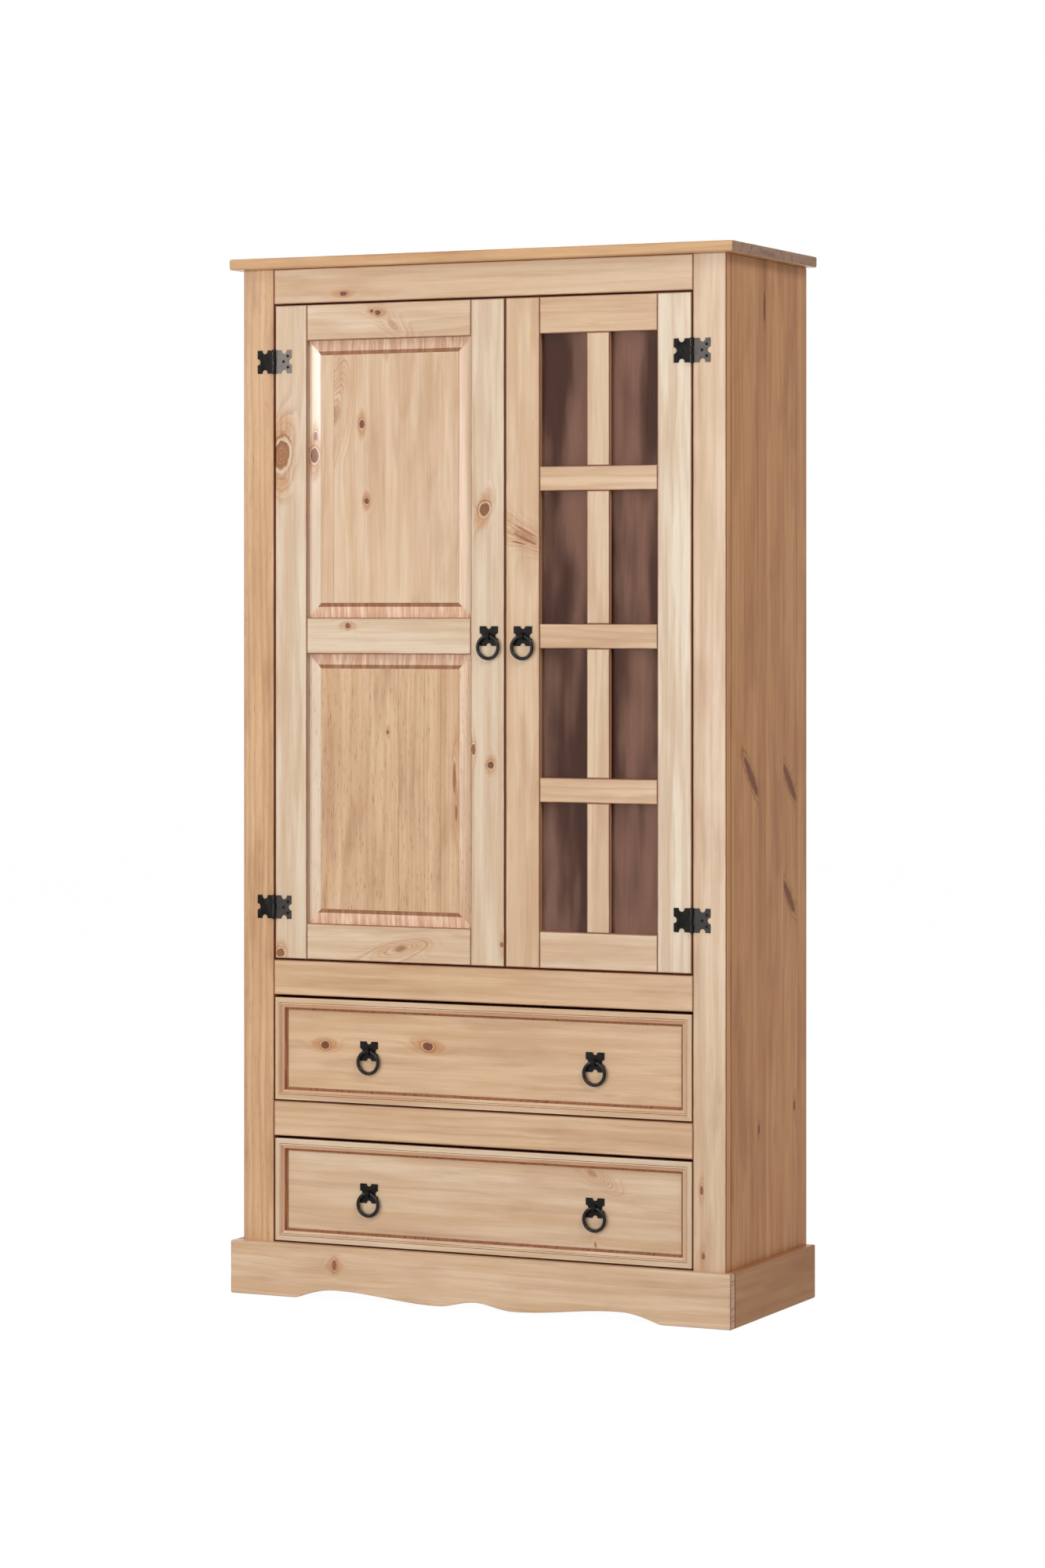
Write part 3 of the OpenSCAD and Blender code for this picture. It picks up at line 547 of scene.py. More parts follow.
def make_knot_group():
    """One knot: its heart, the wood round it, and how far it pushes the rings aside."""
    nodes, given, result = start_group("Knot", [
        ("Vector", NOWHERE), ("Centre", NOWHERE), ("Turn", 0), ("Half Across", 8),
        ("Half Along", 10), ("Strength", 1), ("Push", 1), ("Stave", 0), ("Only Stave", -1),
        ("Knot", 0), ("Halo", 0), ("Swirl", 0),
    ], ("Knot", "Halo", "Swirl"))
    turned = nodes.new("VectorRotate", rotation_type="Y_AXIS")
    nodes.feed(turned.inputs["Vector"], nodes.vector("SUBTRACT", given["Vector"], given["Centre"]))
    nodes.feed(turned.inputs["Angle"], given["Turn"])
    x, y, z = nodes.split(turned.outputs[0])
    wobble = about(nodes.noise(given["Vector"], scale=(0.11, 0, 0.11)), 0.5)
    u = x / given["Half Across"]
    v = z / given["Half Along"]
    reach = nodes.distance(u, v) + wobble
    only = given["Only Stave"]
    in_stave = nodes.math("GREATER_THAN", only, 0.0) * nodes.math("COMPARE", given["Stave"], only, 0.1)
    here = nodes.most(in_stave, nodes.math("LESS_THAN", only, 0.0))
    strength = given["Strength"] * here

    def ring(inner, middle, outer):
        return nodes.step(reach, inner, middle) * nodes.fade(reach, middle, outer)

    # A faint mark has a soft heart, and only a strong one has a rim and bark
    strong = nodes.step(given["Strength"], 0.45, 0.75)
    heart = nodes.fade(reach, strong * 0.64 + 0.2, 1.02)
    outlined = nodes.step(v - u, -0.9, 0.9, 0.35, 0.75) * strong
    # The heart is darkest in small knots, and has rings of its own round a dark pith
    core = nodes.most(nodes.least(6.0 / given["Half Across"], 0.85), 0.46)
    rings = (nodes.math("SINE", reach * 19) * 0.14 + core) * heart
    small = nodes.math("DIVIDE", 5.0, given["Half Across"], clamp=True)
    pith = nodes.step(reach + wobble, 0.12, 0.46, 0.9, 0.0) * small
    rim = ring(0.66, 0.92, 1.1) * outlined
    bark = ring(1.22, 1.4, 1.62) * (outlined * 0.6)
    shade = nodes.most(nodes.most(rim, rings), nodes.most(pith, bark)) * strength
    # The halo and the push reach further along the grain than across it
    around = nodes.distance(u, v * 0.55)
    halo = nodes.step(around + wobble, 1.1, 2.3, 0.5, 0.0) * nodes.step(reach, 1.0, 1.6, 0.1, 1.0)
    halo = nodes.most(halo, heart) * strength
    push = nodes.math("EXPONENT", around ** 2 * -0.42) * given["Push"] * here
    finish_group(nodes, result, Knot=nodes.most(shade, given["Knot"]),
                 Halo=nodes.most(halo, given["Halo"]), Swirl=push + given["Swirl"])


JOINT_LABELS = ("First Joint", "Second Joint", "Third Joint", "Fourth Joint")
NO_JOINT = 9000


def make_stave_group():
    """Boards glued edge to edge: a new seed after each joint, and a fine line at it."""
    nodes, given, result = start_group("Staves", [
        ("Vector", NOWHERE), ("Seed", 0), *[(label, NO_JOINT) for label in JOINT_LABELS],
    ], ("Seed", "Line"))
    x = nodes.split(given["Vector"])[0]
    seed, line = given["Seed"], 0.0
    for label in JOINT_LABELS:
        past = x - given[label]
        seed = seed + nodes.math("GREATER_THAN", past, 0.0)
        line = nodes.most(nodes.fade(abs(past), 0.15, 0.75), line)
    finish_group(nodes, result, Seed=seed, Line=line)


def make_edge_group():
    """A dull tint over the edges of a board, where the wax gathers in the joint."""
    nodes, given, result = start_group("Joint line", [
        ("Color", WHITE), ("Roughness", 0.4), ("Coat", 0.35), ("Vector", NOWHERE),
        ("Half Across", 30), ("Half Deep", 10), ("Half Along", 300), ("Width", 2.4),
        ("Tint", WHITE), ("Line", 0), ("Strength", 0.9),
    ], ("Color", "Roughness", "Coat"))
    x, y, z = nodes.split(given["Vector"])
    near = nodes.least(given["Half Across"] - abs(x), given["Half Along"] - abs(z))
    inside = given["Half Deep"] - abs(y)
    dirt = nodes.noise(given["Vector"], scale=(0.03, 0.03, 0.03))
    line = nodes.fade(near, 0.1, given["Width"] * (dirt + 0.6))
    line = line * nodes.step(inside, 1.0, 4.0, 1.0, 0.35)
    amount = nodes.most(line, given["Line"] * 0.45) * given["Strength"]
    dull = (1.0 - amount) * nodes.fade(inside, 0.5, 2.5)
    finish_group(nodes, result,
                 Color=nodes.blend(amount, given["Color"], given["Tint"], "MULTIPLY"),
                 Roughness=amount * 0.4 + given["Roughness"], Coat=given["Coat"] * dull)


def make_end_group():
    """End grain: arcs of the rings, with fine pores, or streaks where it is cut on a slope."""
    nodes, given, result = start_group("End grain", [
        ("Vector", NOWHERE), ("Seed", 0), ("Pith Across", 0), ("Pith Depth", 60),
        ("Ring Width", 5), ("Pale", WHITE), ("Dark", WHITE), ("Contrast", 0.8), ("Streaks", 0),
    ], ("Color", "Roughness", "Height"))
    seed = given["Seed"]
    x, y, z = nodes.split(given["Vector"])
    radius = nodes.distance(x - given["Pith Across"], y - given["Pith Depth"])
    wave = nodes.noise(nodes.join(x * 0.06, seed, z * 0.01), 3)
    field = radius / given["Ring Width"] + wave * 3.5
    phase = nodes.math("FRACT", field)
    year = nodes.chance(nodes.math("FLOOR", field) + seed)
    late = nodes.step(phase, 0.1, 0.7) * nodes.fade(phase, 0.8, 1.0) * (year[0] * 0.9 + 0.25)
    pores = nodes.noise(given["Vector"], 3, 0.7, scale=(0.8, 0.8, 0.14))
    plain = (about(pores, 1.1) + late) * (1.0 - given["Streaks"])
    comb = nodes.noise(nodes.join(x * 0.16, seed, z * 0.012), 4, 0.7)
    comb = nodes.step(comb, 0.34, 0.6) * 0.85 + 0.15
    amount = nodes.math("MULTIPLY", comb * given["Streaks"] + plain, given["Contrast"], clamp=True)
    finish_group(nodes, result, Color=nodes.blend(amount, given["Pale"], given["Dark"]),
                 Roughness=pores * 0.2 + 0.42, Height=pores)


def make_iron_group():
    """Forged iron with a black finish: hammer marks, and rubbed patches."""
    nodes, given, result = start_group("Iron", [
        ("Vector", NOWHERE), ("Finish", (0, 0, 0)), ("Worn", WHITE), ("Wear", 0.4),
        ("Roughness", 0.4),
    ], ("Color", "Roughness", "Height"))
    hammer, rub, grit = [
        nodes.noise(given["Vector"], detail, roughness, scale=(per_metre,) * 3)
        for per_metre, detail, roughness in ((260, 1, 0.5), (90, 4, 0.65), (1500, 2, 0.5))]
    worn = nodes.step(rub, 0.42, 0.68) * given["Wear"]
    finish_group(nodes, result, Color=nodes.blend(worn, given["Finish"], given["Worn"]),
                 Roughness=about(grit, 0.16) + given["Roughness"], Height=grit * 0.15 + hammer)


# Materials

# Each lay of a board gives the directions across its face, through it and along its grain, and
# the finish of its ends.
Lay = namedtuple("Lay", "across through along end")
X, Y, Z = Vector((1, 0, 0)), Vector((0, 1, 0)), Vector((0, 0, 1))
UPRIGHT = Lay(X, Y, Z, "end_upright")
LEVEL = Lay(Z, Vector((0, -1, 0)), X, "end_level")
SIDE = Lay(Y, Vector((-1, 0, 0)), Z, "end_upright")
FLAT = Lay(Y, Z, X, "end_flat")
RETURN = Lay(Z, X, Y, "end_return")
WAX_SHINE = 0.17
WOOD_RELIEF = 0.15 * MM
IRON_RELIEF = 0.25 * MM
RELIEF_STRENGTH = 0.5
# A face looks along an axis where this share of its normal does
FACING = 0.75
# This far in mm past an edge, a joint line no longer shows on the board
FREE = 30


def in_board(lay, centre, spot):
    """A place in metres, as millimetres in the board's own directions."""
    away = Vector(spot) - centre
    return Vector([away.dot(axis) / MM for axis in lay[:3]])


def start_material(name):
    material = bpy.data.materials.new(name)
    material.use_nodes = True
    tree = material.node_tree
    return material, Nodes(tree), tree.nodes["Principled BSDF"]


def board_vector(nodes, lay, centre):
    """The place on the board in millimetres, with Z along the grain."""
    coordinates = nodes.new("TexCoord").outputs["Object"]
    mapping = nodes.new("Mapping", vector_type="TEXTURE")
    nodes.feed(mapping.inputs["Vector"], coordinates)
    mapping.inputs["Location"].default_value = centre
    mapping.inputs["Rotation"].default_value = Matrix(lay[:3]).transposed().to_euler()
    mapping.inputs["Scale"].default_value = (MM, MM, MM)
    return mapping.outputs[0]


def finish_surface(nodes, shader, found, height, depth, shine):
    """Links a pattern's colour, roughness and height to the shader, and sets its shine."""
    nodes.feed(shader.inputs["Base Color"], found["Color"])
    nodes.feed(shader.inputs["Roughness"], found["Roughness"])
    relief = nodes.new("Bump")
    nodes.feed(relief.inputs["Height"], height)
    relief.inputs["Strength"].default_value = RELIEF_STRENGTH
    relief.inputs["Distance"].default_value = depth
    nodes.feed(shader.inputs["Normal"], relief.outputs[0])
    shader.inputs["Specular IOR Level"].default_value = shine


def side_look_painted_shade(dim=1.0, **look):
    """The look of a board on the cabinet's sides: deeper, browner tones that are partly painted shade,
    and less shine.
    """
    pine = bpy.context.scene.cabinet_pine
    tones = [Vector(tone) * dim for tone in (pine.side_painted_shade_pale, pine.side_painted_shade_middle, pine.side_painted_shade_late)]
    return dict(tones=tones, shine=0.05, coat=0, **look)


def aged(pale, middle, late, age):
    """Moves three wood colours towards the deeply waxed ones."""
    pine = bpy.context.scene.cabinet_pine
    deep = (pine.deep_pale, pine.deep_middle, pine.deep_late)
    return [Vector(fresh).lerp(Vector(old), age) for fresh, old in zip((pale, middle, late), deep)]


def pine_material(name, lay, low, high, seed, pith=(0, 60), ring=None, wander=12, contrast=0.5,
                  bands=0.6, fibres=0.5, resin=0.15, knots=(), joints=(), age=0.0, pale=None,
                  free=(0, 0), line=0.9, tint=None, tones=None, shine=WAX_SHINE, coat=0.35,
                  fineness=1.0, variety=0.06):
    """Waxed pine for one board. Age goes from fresh at 0 to deeply waxed at 1.

    Knots are given in mm and degrees as (x, z, half across, half along, turn, strength, push),
    with y for x on a side, and last the number of the one stave that they lie in where a joint
    cuts them. Joints are the places in mm, across the board, where staves meet. Free is how far
    the joint lines lie outside the board's sides and ends, or inside them where it is negative.
    """
    pine = bpy.context.scene.cabinet_pine
    material, nodes, shader = start_material(name)
    centre = (low + high) / 2
    half = in_board(lay, centre, high)
    vector = board_vector(nodes, lay, centre)
    glued = nodes.group("Staves", Vector=vector, Seed=float(seed))
    staves = glued["Seed"].socket.node
    for label, joint in zip(JOINT_LABELS, joints):
        staves.inputs[label].default_value = in_board(lay, centre, lay.across * joint * MM).x
    near = {"Knot": 0.0, "Halo": 0.0, "Swirl": 0.0}
    for across, height, half_across, half_along, turn, strength, push, *stave in knots:
        spot = mm(0, across, height) if lay is SIDE else mm(across, 0, height)
        at = in_board(lay, centre, spot)
        near = nodes.group("Knot", Vector=vector, Centre=(at.x, 0, at.z), Turn=math.radians(turn),
                           Half_Across=half_across, Half_Along=half_along, Strength=strength,
                           Push=push, Knot=near["Knot"], Halo=near["Halo"], Swirl=near["Swirl"],
                           Stave=glued["Seed"], Only_Stave=float(seed + stave[0]) if stave else -1.0)
    pale, middle, late = tones or aged(pale or pine.pale, pine.middle, pine.late, age)
    found = nodes.group("Pine", Vector=vector, Seed=glued["Seed"], Pith_Across=float(pith[0]),
                        Pith_Depth=float(pith[1]), Ring_Width=ring or pine.ring / MM,
                        Wander=float(wander), Contrast=contrast, Bands=bands, Fibres=fibres,
                        Resin=resin, Pale=pale, Middle=middle, Late=late, Knot_Colour=pine.knot,
                        Halo_Colour=pine.halo, Knot=near["Knot"], Halo=near["Halo"],
                        Swirl=near["Swirl"], Roughness=pine.roughness, Fineness=fineness,
                        Variety=variety)
    edged = nodes.group("Joint line", Color=found["Color"], Roughness=found["Roughness"],
                        Coat=coat, Vector=vector, Half_Across=abs(half.x) + free[0],
                        Half_Deep=abs(half.y) if min(free) >= 0 else 0.0,
                        Half_Along=abs(half.z) + free[1], Tint=tint or pine.joint,
                        Line=glued["Line"], Strength=line)
    finish_surface(nodes, shader, edged, found["Height"], WOOD_RELIEF, shine)
    if coat:
        nodes.feed(shader.inputs["Coat Weight"], edged["Coat"])
        shader.inputs["Coat Roughness"].default_value = 0.15
    return material


def end_material(name, lay, centre, seed, pith=(0, 60), ring=5.0, contrast=0.8, tones=None,
                 streaks=0.0):
    """End grain of a board."""
    pine = bpy.context.scene.cabinet_pine
    material, nodes, shader = start_material(name)
    vector = board_vector(nodes, lay, Vector(centre))
    pale, dark = tones or (pine.end_pale, pine.end_dark)
    found = nodes.group("End grain", Vector=vector, Seed=float(seed), Pith_Across=float(pith[0]),
                        Pith_Depth=float(pith[1]), Ring_Width=ring, Pale=pale, Dark=dark,
                        Contrast=contrast, Streaks=streaks)
    finish_surface(nodes, shader, found, found["Height"], WOOD_RELIEF, WAX_SHINE)
    return material


def iron_material(name, finish, worn, wear=0.4, roughness=0.42, shine=0.14):
    """Forged iron under a thin black finish."""
    material, nodes, shader = start_material(name)
    vector = nodes.new("TexCoord").outputs["Object"]
    found = nodes.group("Iron", Vector=vector, Finish=finish, Worn=worn, Wear=wear,
                        Roughness=roughness)
    finish_surface(nodes, shader, found, found["Height"], IRON_RELIEF, shine)
    return material


def dress(piece, *materials, choose=None):
    """Gives a piece its materials. A test of each face can choose the number of its material."""
    piece.data.materials.clear()
    for material in materials:
        piece.data.materials.append(material)
    for face in piece.data.polygons:
        face.material_index = int(choose(face)) if choose else 0


def kept(name):
    return bpy.data.materials[name]


# Boards

FRAME_RAILS = (-377.5, 377.5)
LEFT_DOOR_RAILS = (-316, -14.5)
RIGHT_DOOR_RAILS = (109, 316)


def make_board(node, body, lay, ease=None, corners=None, segments=2, name=None, cut=None, **look):
    """Makes one board in the place of a CAD node, or of a part of it, with eased edges."""
    low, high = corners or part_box(node)
    name = name or node + "_wood"
    piece = add_block(name, low, high)
    if cut:
        merge(piece, add_block("rebate", *cut), "DIFFERENCE")
    round_edges(piece, ease or bpy.context.scene.cabinet_form.board_ease, segments)
    smooth(piece)
    dress(piece, pine_material(name, lay, low, high, **look), kept(lay.end),
          choose=lambda face: abs(face.normal.dot(lay.along)) > FACING)
    return place(piece, body, "waxed_pine", [node])


def trimmed(node, **ranges):
    """A CAD node's corners, with its ranges along x, y or z replaced by those given in mm."""
    corners = [Vector(corner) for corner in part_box(node)]
    for axis, ends in ranges.items():
        for corner, end in zip(corners, ends):
            if end is not None:
                setattr(corner, axis, end * MM)
    return corners


def make_frame_boards(start, body, rails, boards, cut=None):
    """Makes the stiles and rails of a frame. The rails show between these two places in mm."""
    for part, look in boards.items():
        is_rail = part.endswith("rail")
        corners = trimmed(start + part, x=rails) if is_rail else None
        make_board(start + part, body, LEVEL if is_rail else UPRIGHT, corners=corners, cut=cut, **look)


# Operators

class CABINET_OT_finishes(bpy.types.Operator):
    """Makes the shared node groups and the finishes that several pieces use"""
    bl_idname = "cabinet.finishes"
    bl_label = "Finishes"

    def execute(self, context):
        for make_group in (make_pine_group, make_knot_group, make_stave_group, make_edge_group,
                           make_end_group, make_iron_group):
            make_group()
        metal = context.scene.cabinet_metal
        pine = context.scene.cabinet_pine
        front = (0, -0.155, 0)
        # Grooves and recesses: wax in the hollows, together with painted shade
        end_material("waxed_groove", UPRIGHT, front, 1, ring=9.0,
                     tones=(pine.groove_pale, pine.groove))
        end_material("end_upright", UPRIGHT, front, 3)
        end_material("end_level", LEVEL, (0, -0.155, 0.9), 5, pith=(40, 70))
        end_material("end_return", RETURN, (0, 0.1, 0.05), 7, pith=(10, 90))
        end_material("end_flat", FLAT, (0, 0, 1.711), 9, pith=(-40, -70), ring=14.0,
                     tones=(pine.top_end_pale, pine.top_end_dark), contrast=0.6)
        iron_material("forged_black", metal.iron, metal.worn, wear=0.3, shine=0.1)
        iron_material("ring_iron", metal.iron, metal.worn, wear=0.1, roughness=0.22, shine=0.25)
        # Painted reflections on the hinge leaves that reach right of their axis
        iron_material("grey_iron", metal.grey, metal.worn, roughness=0.45)
        iron_material("bright_iron", metal.bright, metal.grey, roughness=0.45)
        iron_material("rubbed_iron", metal.rubbed, metal.bright, roughness=0.45)
        return {"FINISHED"}


class CABINET_OT_top(bpy.types.Operator):
    """Makes the top board with its rounded edge"""
    bl_idname = "cabinet.top"
    bl_label = "Top board"

    def execute(self, context):
        make_board("top_board", "cabinet", FLAT, context.scene.cabinet_form.top_ease, segments=4,
                   seed=2, age=0.95, pith=(-60, -50), ring=11, wander=24, contrast=0.25,
                   free=(20, 20), joints=(-50, 70))
        return {"FINISHED"}


class CABINET_OT_carcase(bpy.types.Operator):
    """Makes the two glued side panels"""
    bl_idname = "cabinet.carcase"
    bl_label = "Side panels"

    def execute(self, context):
        knots = [(-2, 1680, 11, 64, 0, 0.55, 2), (-3, 1625, 4, 26, 0, 1, 0.5)]
        # Each slanting mark is a broad knot with a thin dark one inside it
        for y, z, half_broad, half_thin, stave in ((-58, 867, 44, 36, 0), (108, 853, 44, 36, 3),
                                                   (105, 666, 38, 31, 3)):
            knots += [(y, z, 10, half_broad, 43, 1, 1, stave),
                      (y, z, 4.5, half_thin, 43, 0.9, 0, stave)]
        knots += [(-27, 300.2, 4, 9, 0, 0.9, 1.5), (127.3, 322.2, 4, 9, 0, 0.9, 1.5)]
        for side, seed in (("right", 11), ("left", 31)):
            look = side_look_painted_shade(seed=seed, pith=(50, 70), ring=9, wander=30, contrast=0.26, bands=0.9,
                             fibres=0.8, free=(0, FREE), fineness=0.6, variety=0.2)
            make_board("side_panel_" + side, "cabinet", SIDE, context.scene.cabinet_form.side_ease,
                       joints=(-29, 3, 79, 141), knots=knots, **look)
        return {"FINISHED"}


class CABINET_OT_face_frame(bpy.types.Operator):
    """Makes the posts and rails round the doors and drawers"""
    bl_idname = "cabinet.face_frame"
    bl_label = "Face frame"

    def execute(self, context):
        posts = {
            "face_post_left": dict(seed=21, age=0.85, pith=(90, 40), ring=11, contrast=0.35,
                                   bands=0.9, resin=0.5),
            "face_post_right": dict(seed=22, age=0.35, pith=(-70, 50), ring=12, contrast=0.12,
                                    bands=0.8, knots=((392.6, 215.9, 3, 8, 0, 0.7, 1),
                                                      (395.4, 111.5, 3, 6, 0, 0.7, 1))),
        }
        for (node, look), way in zip(posts.items(), (-1, 1)):
            post = make_board(node, "cabinet", UPRIGHT, free=(0, FREE), **look)
            outside = side_look_painted_shade(seed=27, contrast=0.1, free=(0, FREE))
            post.data.materials.append(pine_material(node + "_side", SIDE, *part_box(node), **outside))
            for face in post.data.polygons:
                if face.normal.x * way > FACING:
                    face.material_index = 2
        make_frame_boards("", "cabinet", FRAME_RAILS, {
            "top_rail": dict(seed=23, age=0.37, pith=(-50, 60), ring=12, contrast=0.15,
                             knots=[(-248.1, 1658, 4, 7, 0, 1, 2.5)]),
            "middle_rail": dict(seed=24, age=0.62, pith=(60, 50), ring=13, contrast=0.2),
            "drawer_rail": dict(seed=25, age=0.58, pith=(-80, 40), ring=12, contrast=0.25),
            "bottom_rail": dict(seed=26, age=0.7, pith=(-40, 40), ring=7),
        })
        return {"FINISHED"}


def plinth_rise(x):
    """Height of the plinth's shaped lower edge, in mm, at this distance from the middle."""
    foot, crest, dip = 327, 256, 68
    crest_rise, dip_rise, middle_rise = 16, 3.2, 13.2
    x = abs(x)
    if x >= foot:
        return 0
    if x >= crest:
        return crest_rise * math.sin(math.pi / 2 * (foot - x) / (foot - crest))
    if x >= dip:
        part = (crest - x) / (crest - dip)
        return dip_rise + (crest_rise - dip_rise) * (1 + math.cos(math.pi * part)) / 2
    return dip_rise + (middle_rise - dip_rise) * (1 + math.cos(math.pi * x / dip)) / 2


class CABINET_OT_plinth(bpy.types.Operator):
    """Makes the shaped plinth board and the boards behind it"""
    bl_idname = "cabinet.plinth"
    bl_label = "Plinth"

    def execute(self, context):
        ease = context.scene.cabinet_form.plinth_ease
        low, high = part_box("plinth_front")
        middle = (low.z + high.z) / 2
        clear_selection()
        bpy.ops.mesh.primitive_grid_add(x_subdivisions=150, y_subdivisions=1, size=1,
                                        location=(0, low.y, middle), rotation=(math.pi / 2, 0, 0))
        bpy.context.object.scale = (high.x - low.x, high.z - low.z, 1)
        piece = settle("plinth_front_wood")
        for vertex in piece.data.vertices:
            if vertex.co.z < middle:
                vertex.co.z = plinth_rise(vertex.co.x / MM) * MM
        pick_faces(piece, lambda face: True)
        bpy.ops.mesh.extrude_region_move(TRANSFORM_OT_translate={"value": (0, high.y - low.y, 0)})
        leave_edit()
        turn_outwards(piece)
        round_edges(piece, ease, 3)
        smooth(piece)
        wood = pine_material("plinth_front_wood", LEVEL, low, high, 41, age=0.42, pith=(50, 50),
                             ring=14, wander=26, contrast=0.22, free=(FREE, 0),
                             knots=[(-255.4, 58.6, 9, 4.5, 0, 0.85, 2)])
        dress(piece, wood, kept(LEVEL.end), choose=lambda face: abs(face.normal.x) > FACING)
        place(piece, "cabinet", "waxed_pine", ["plinth_front"])

        inner, outer = 434.5, 450
        for side, name in ((1, "plinth_side_right_wood"), (-1, "plinth_side_left_wood")):
            corners = trimmed("plinth_returns", x=sorted((side * inner, side * outer)))
            # The plinth's returns take the sides' painted-shade tones, dimmed further
            look = side_look_painted_shade(dim=0.84, seed=42 + side, pith=(50, 50), ring=12, free=(FREE, 0),
                             contrast=0.2, fineness=0.6)
            make_board("plinth_returns", "cabinet", RETURN, ease, corners, 3, name, **look)
        corners = trimmed("plinth_returns", x=(-inner, inner), y=(160, 178), z=(None, 54))
        make_board("plinth_returns", "cabinet", LEVEL, corners=corners, name="plinth_rear_wood",
                   seed=44, age=0.9)
        return {"FINISHED"}


# How far a face of a raised panel tilts where its slope begins, where the cove turns dark at
# its ends, and where the groove beside the field starts
SLOPE_TILT, COVE_TILT, GROOVE_FACING = 0.03, 0.128, 0.965


def make_raised_panel(node, look, end_look):
    """Makes a panel whose coved edges rise in steps to a flat field."""
    form = bpy.context.scene.cabinet_form
    pine = bpy.context.scene.cabinet_pine
    low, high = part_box(node)
    centre = (low + high) / 2
    field, tongue = low.y, -157 * MM
    piece = add_block(node + "_wood", (low.x, tongue, low.z), high)
    # The tongue in the groove, then the cove, as (width, rise) in mm
    steps = ((9, 0), (7.5, 0.5), (6, 0.65), (4.5, 0.55), (3, 0.4), (1.8, 0.35), (0.9, 0.2),
             (0.45, 0.35))
    inset_front(piece, steps)
    for vertex in piece.data.vertices:
        vertex.co.y = max(vertex.co.y, field)
    round_edges(piece, form.panel_ease, 2, 30)
    smooth(piece, 28)

    # The slopes across the grain show streaks: darker in the cove, and brighter at the foot
    tones = (Vector(pine.bevel_pale), Vector(pine.bevel_dark))
    darker = [tone * Vector((0.5, 0.36, 0.27)) for tone in tones]
    brighter = [tone * 1.16 for tone in tones]
    end, cove, foot = [end_material(node + part, UPRIGHT, centre, tones=pair, **end_look) for part, pair
                       in (("_end", tones), ("_cove", darker), ("_foot", brighter))]
    wood = pine_material(node + "_wood", UPRIGHT, low, high, coat=0.55, **look)
    # Painted light: the slopes that face left get a paler copy of the wood, standing in for light and
    # sheen that the stile's shadow keeps off them
    left = pine_material(node + "_left", UPRIGHT, low, high, coat=0.4,
                         tones=(pine.bevel_pale, pine.pale, pine.middle), **look)

    def finish(face):
        across, out, up = face.normal
        if abs(up) > COVE_TILT:
            return 2
        # The steps beside the field take the groove tone, which is wax and painted shade
        if abs(out) < GROOVE_FACING:
            return 3
        if abs(up) > SLOPE_TILT:
            return 5 if up < 0 else 1
        # Slopes that face left take the paler copy, which is painted light
        return 4 if across < -SLOPE_TILT else 0

    dress(piece, wood, end, cove, kept("waxed_groove"), left, foot, choose=finish)
    return place(piece, "left_door", "waxed_pine", [node])


class CABINET_OT_left_door(bpy.types.Operator):
    """Makes the panelled door"""
    bl_idname = "cabinet.left_door"
    bl_label = "Panelled door"

    def execute(self, context):
        make_frame_boards("left_door_", "left_door", LEFT_DOOR_RAILS, {
            "hinge_stile": dict(seed=51, pith=(-60, 50), ring=12, contrast=0.14, bands=0.25, knots=(
                (-363, 1393, 14, 24, -6, 1, 5), (-362, 1432, 12, 4.5, 0, 0.5, 1),
                (-364, 1355, 11, 4, 0, 0.5, 1), (-365.3, 567.6, 8, 7, 0, 0.8, 2))),
            "meeting_stile": dict(seed=52, age=0.05, pith=(70, 40), ring=12, contrast=0.12, bands=0.5,
                                  knots=((10.3, 1299.3, 8.5, 11, -20, 1, 3),
                                         (21.7, 884.5, 6, 6, 0, 1, 1.5),
                                         (-9.4, 909.5, 4, 9, 0, 0.7, 1),
                                         (41.4, 593.9, 4, 6, 0, 0.6, 1))),
            "top_rail": dict(seed=53, age=0.25, pith=(-70, 50), ring=13, contrast=0.16, knots=(
                (-184.2, 1625, 4.5, 5.5, 0, 1, 2), (-195.7, 1627.9, 2.8, 3.2, 0, 1, 1),
                (-155, 1603, 9, 20, 40, 0.28, 3))),
            "lock_rail": dict(seed=54, age=0.15, pith=(60, 60), ring=13, contrast=0.12, bands=0.4,
                              knots=[(-239.7, 1110.6, 5, 5, 0, 0.8, 1.5)]),
            "bottom_rail": dict(seed=55, age=0.3, pith=(20, 60), ring=10, contrast=0.25,
                                knots=[(-142.2, 581.5, 8, 18, -14, 0.44, 6)]),
        })
        # The edges of both panels are hidden in grooves, and their joint lines lie at the frame
        hidden = -8.4
        make_raised_panel("left_door_upper_panel", dict(
            seed=56, age=0.45, pith=(40, 80), ring=14, wander=26, contrast=0.12, bands=0.7,
            joints=[-268], knots=(
                (-305, 1392, 8, 12, 0, 1, 4), (-303, 1424, 4, 8, 0, 0.8, 1),
                (-216, 1442.4, 5, 7.5, 0, 1, 3), (-207.2, 1315.8, 4.8, 5, 0, 1, 3),
                (-266, 1460, 15, 32, -14, 0.42, 10, 1), (-171.1, 1565.3, 4, 6, 0, 0.8, 1)),
            free=(hidden, hidden)), dict(seed=57, streaks=0.9, contrast=0.9))
        make_raised_panel("left_door_lower_panel", dict(
            seed=58, age=0.68, pith=(-60, 50), ring=7, wander=20, contrast=0.22, bands=0.9, resin=1.0,
            joints=(-148, -72), knots=(
                (-168.1, 935.7, 3, 4, 0, 0.7, 1), (-46.3, 862, 3.5, 30, 0, 0.6, 1.5),
                (-43, 805, 3, 16, 0, 0.6, 1)),
            free=(hidden, hidden)), dict(seed=59, streaks=0.9, contrast=0.9))
        return {"FINISHED"}


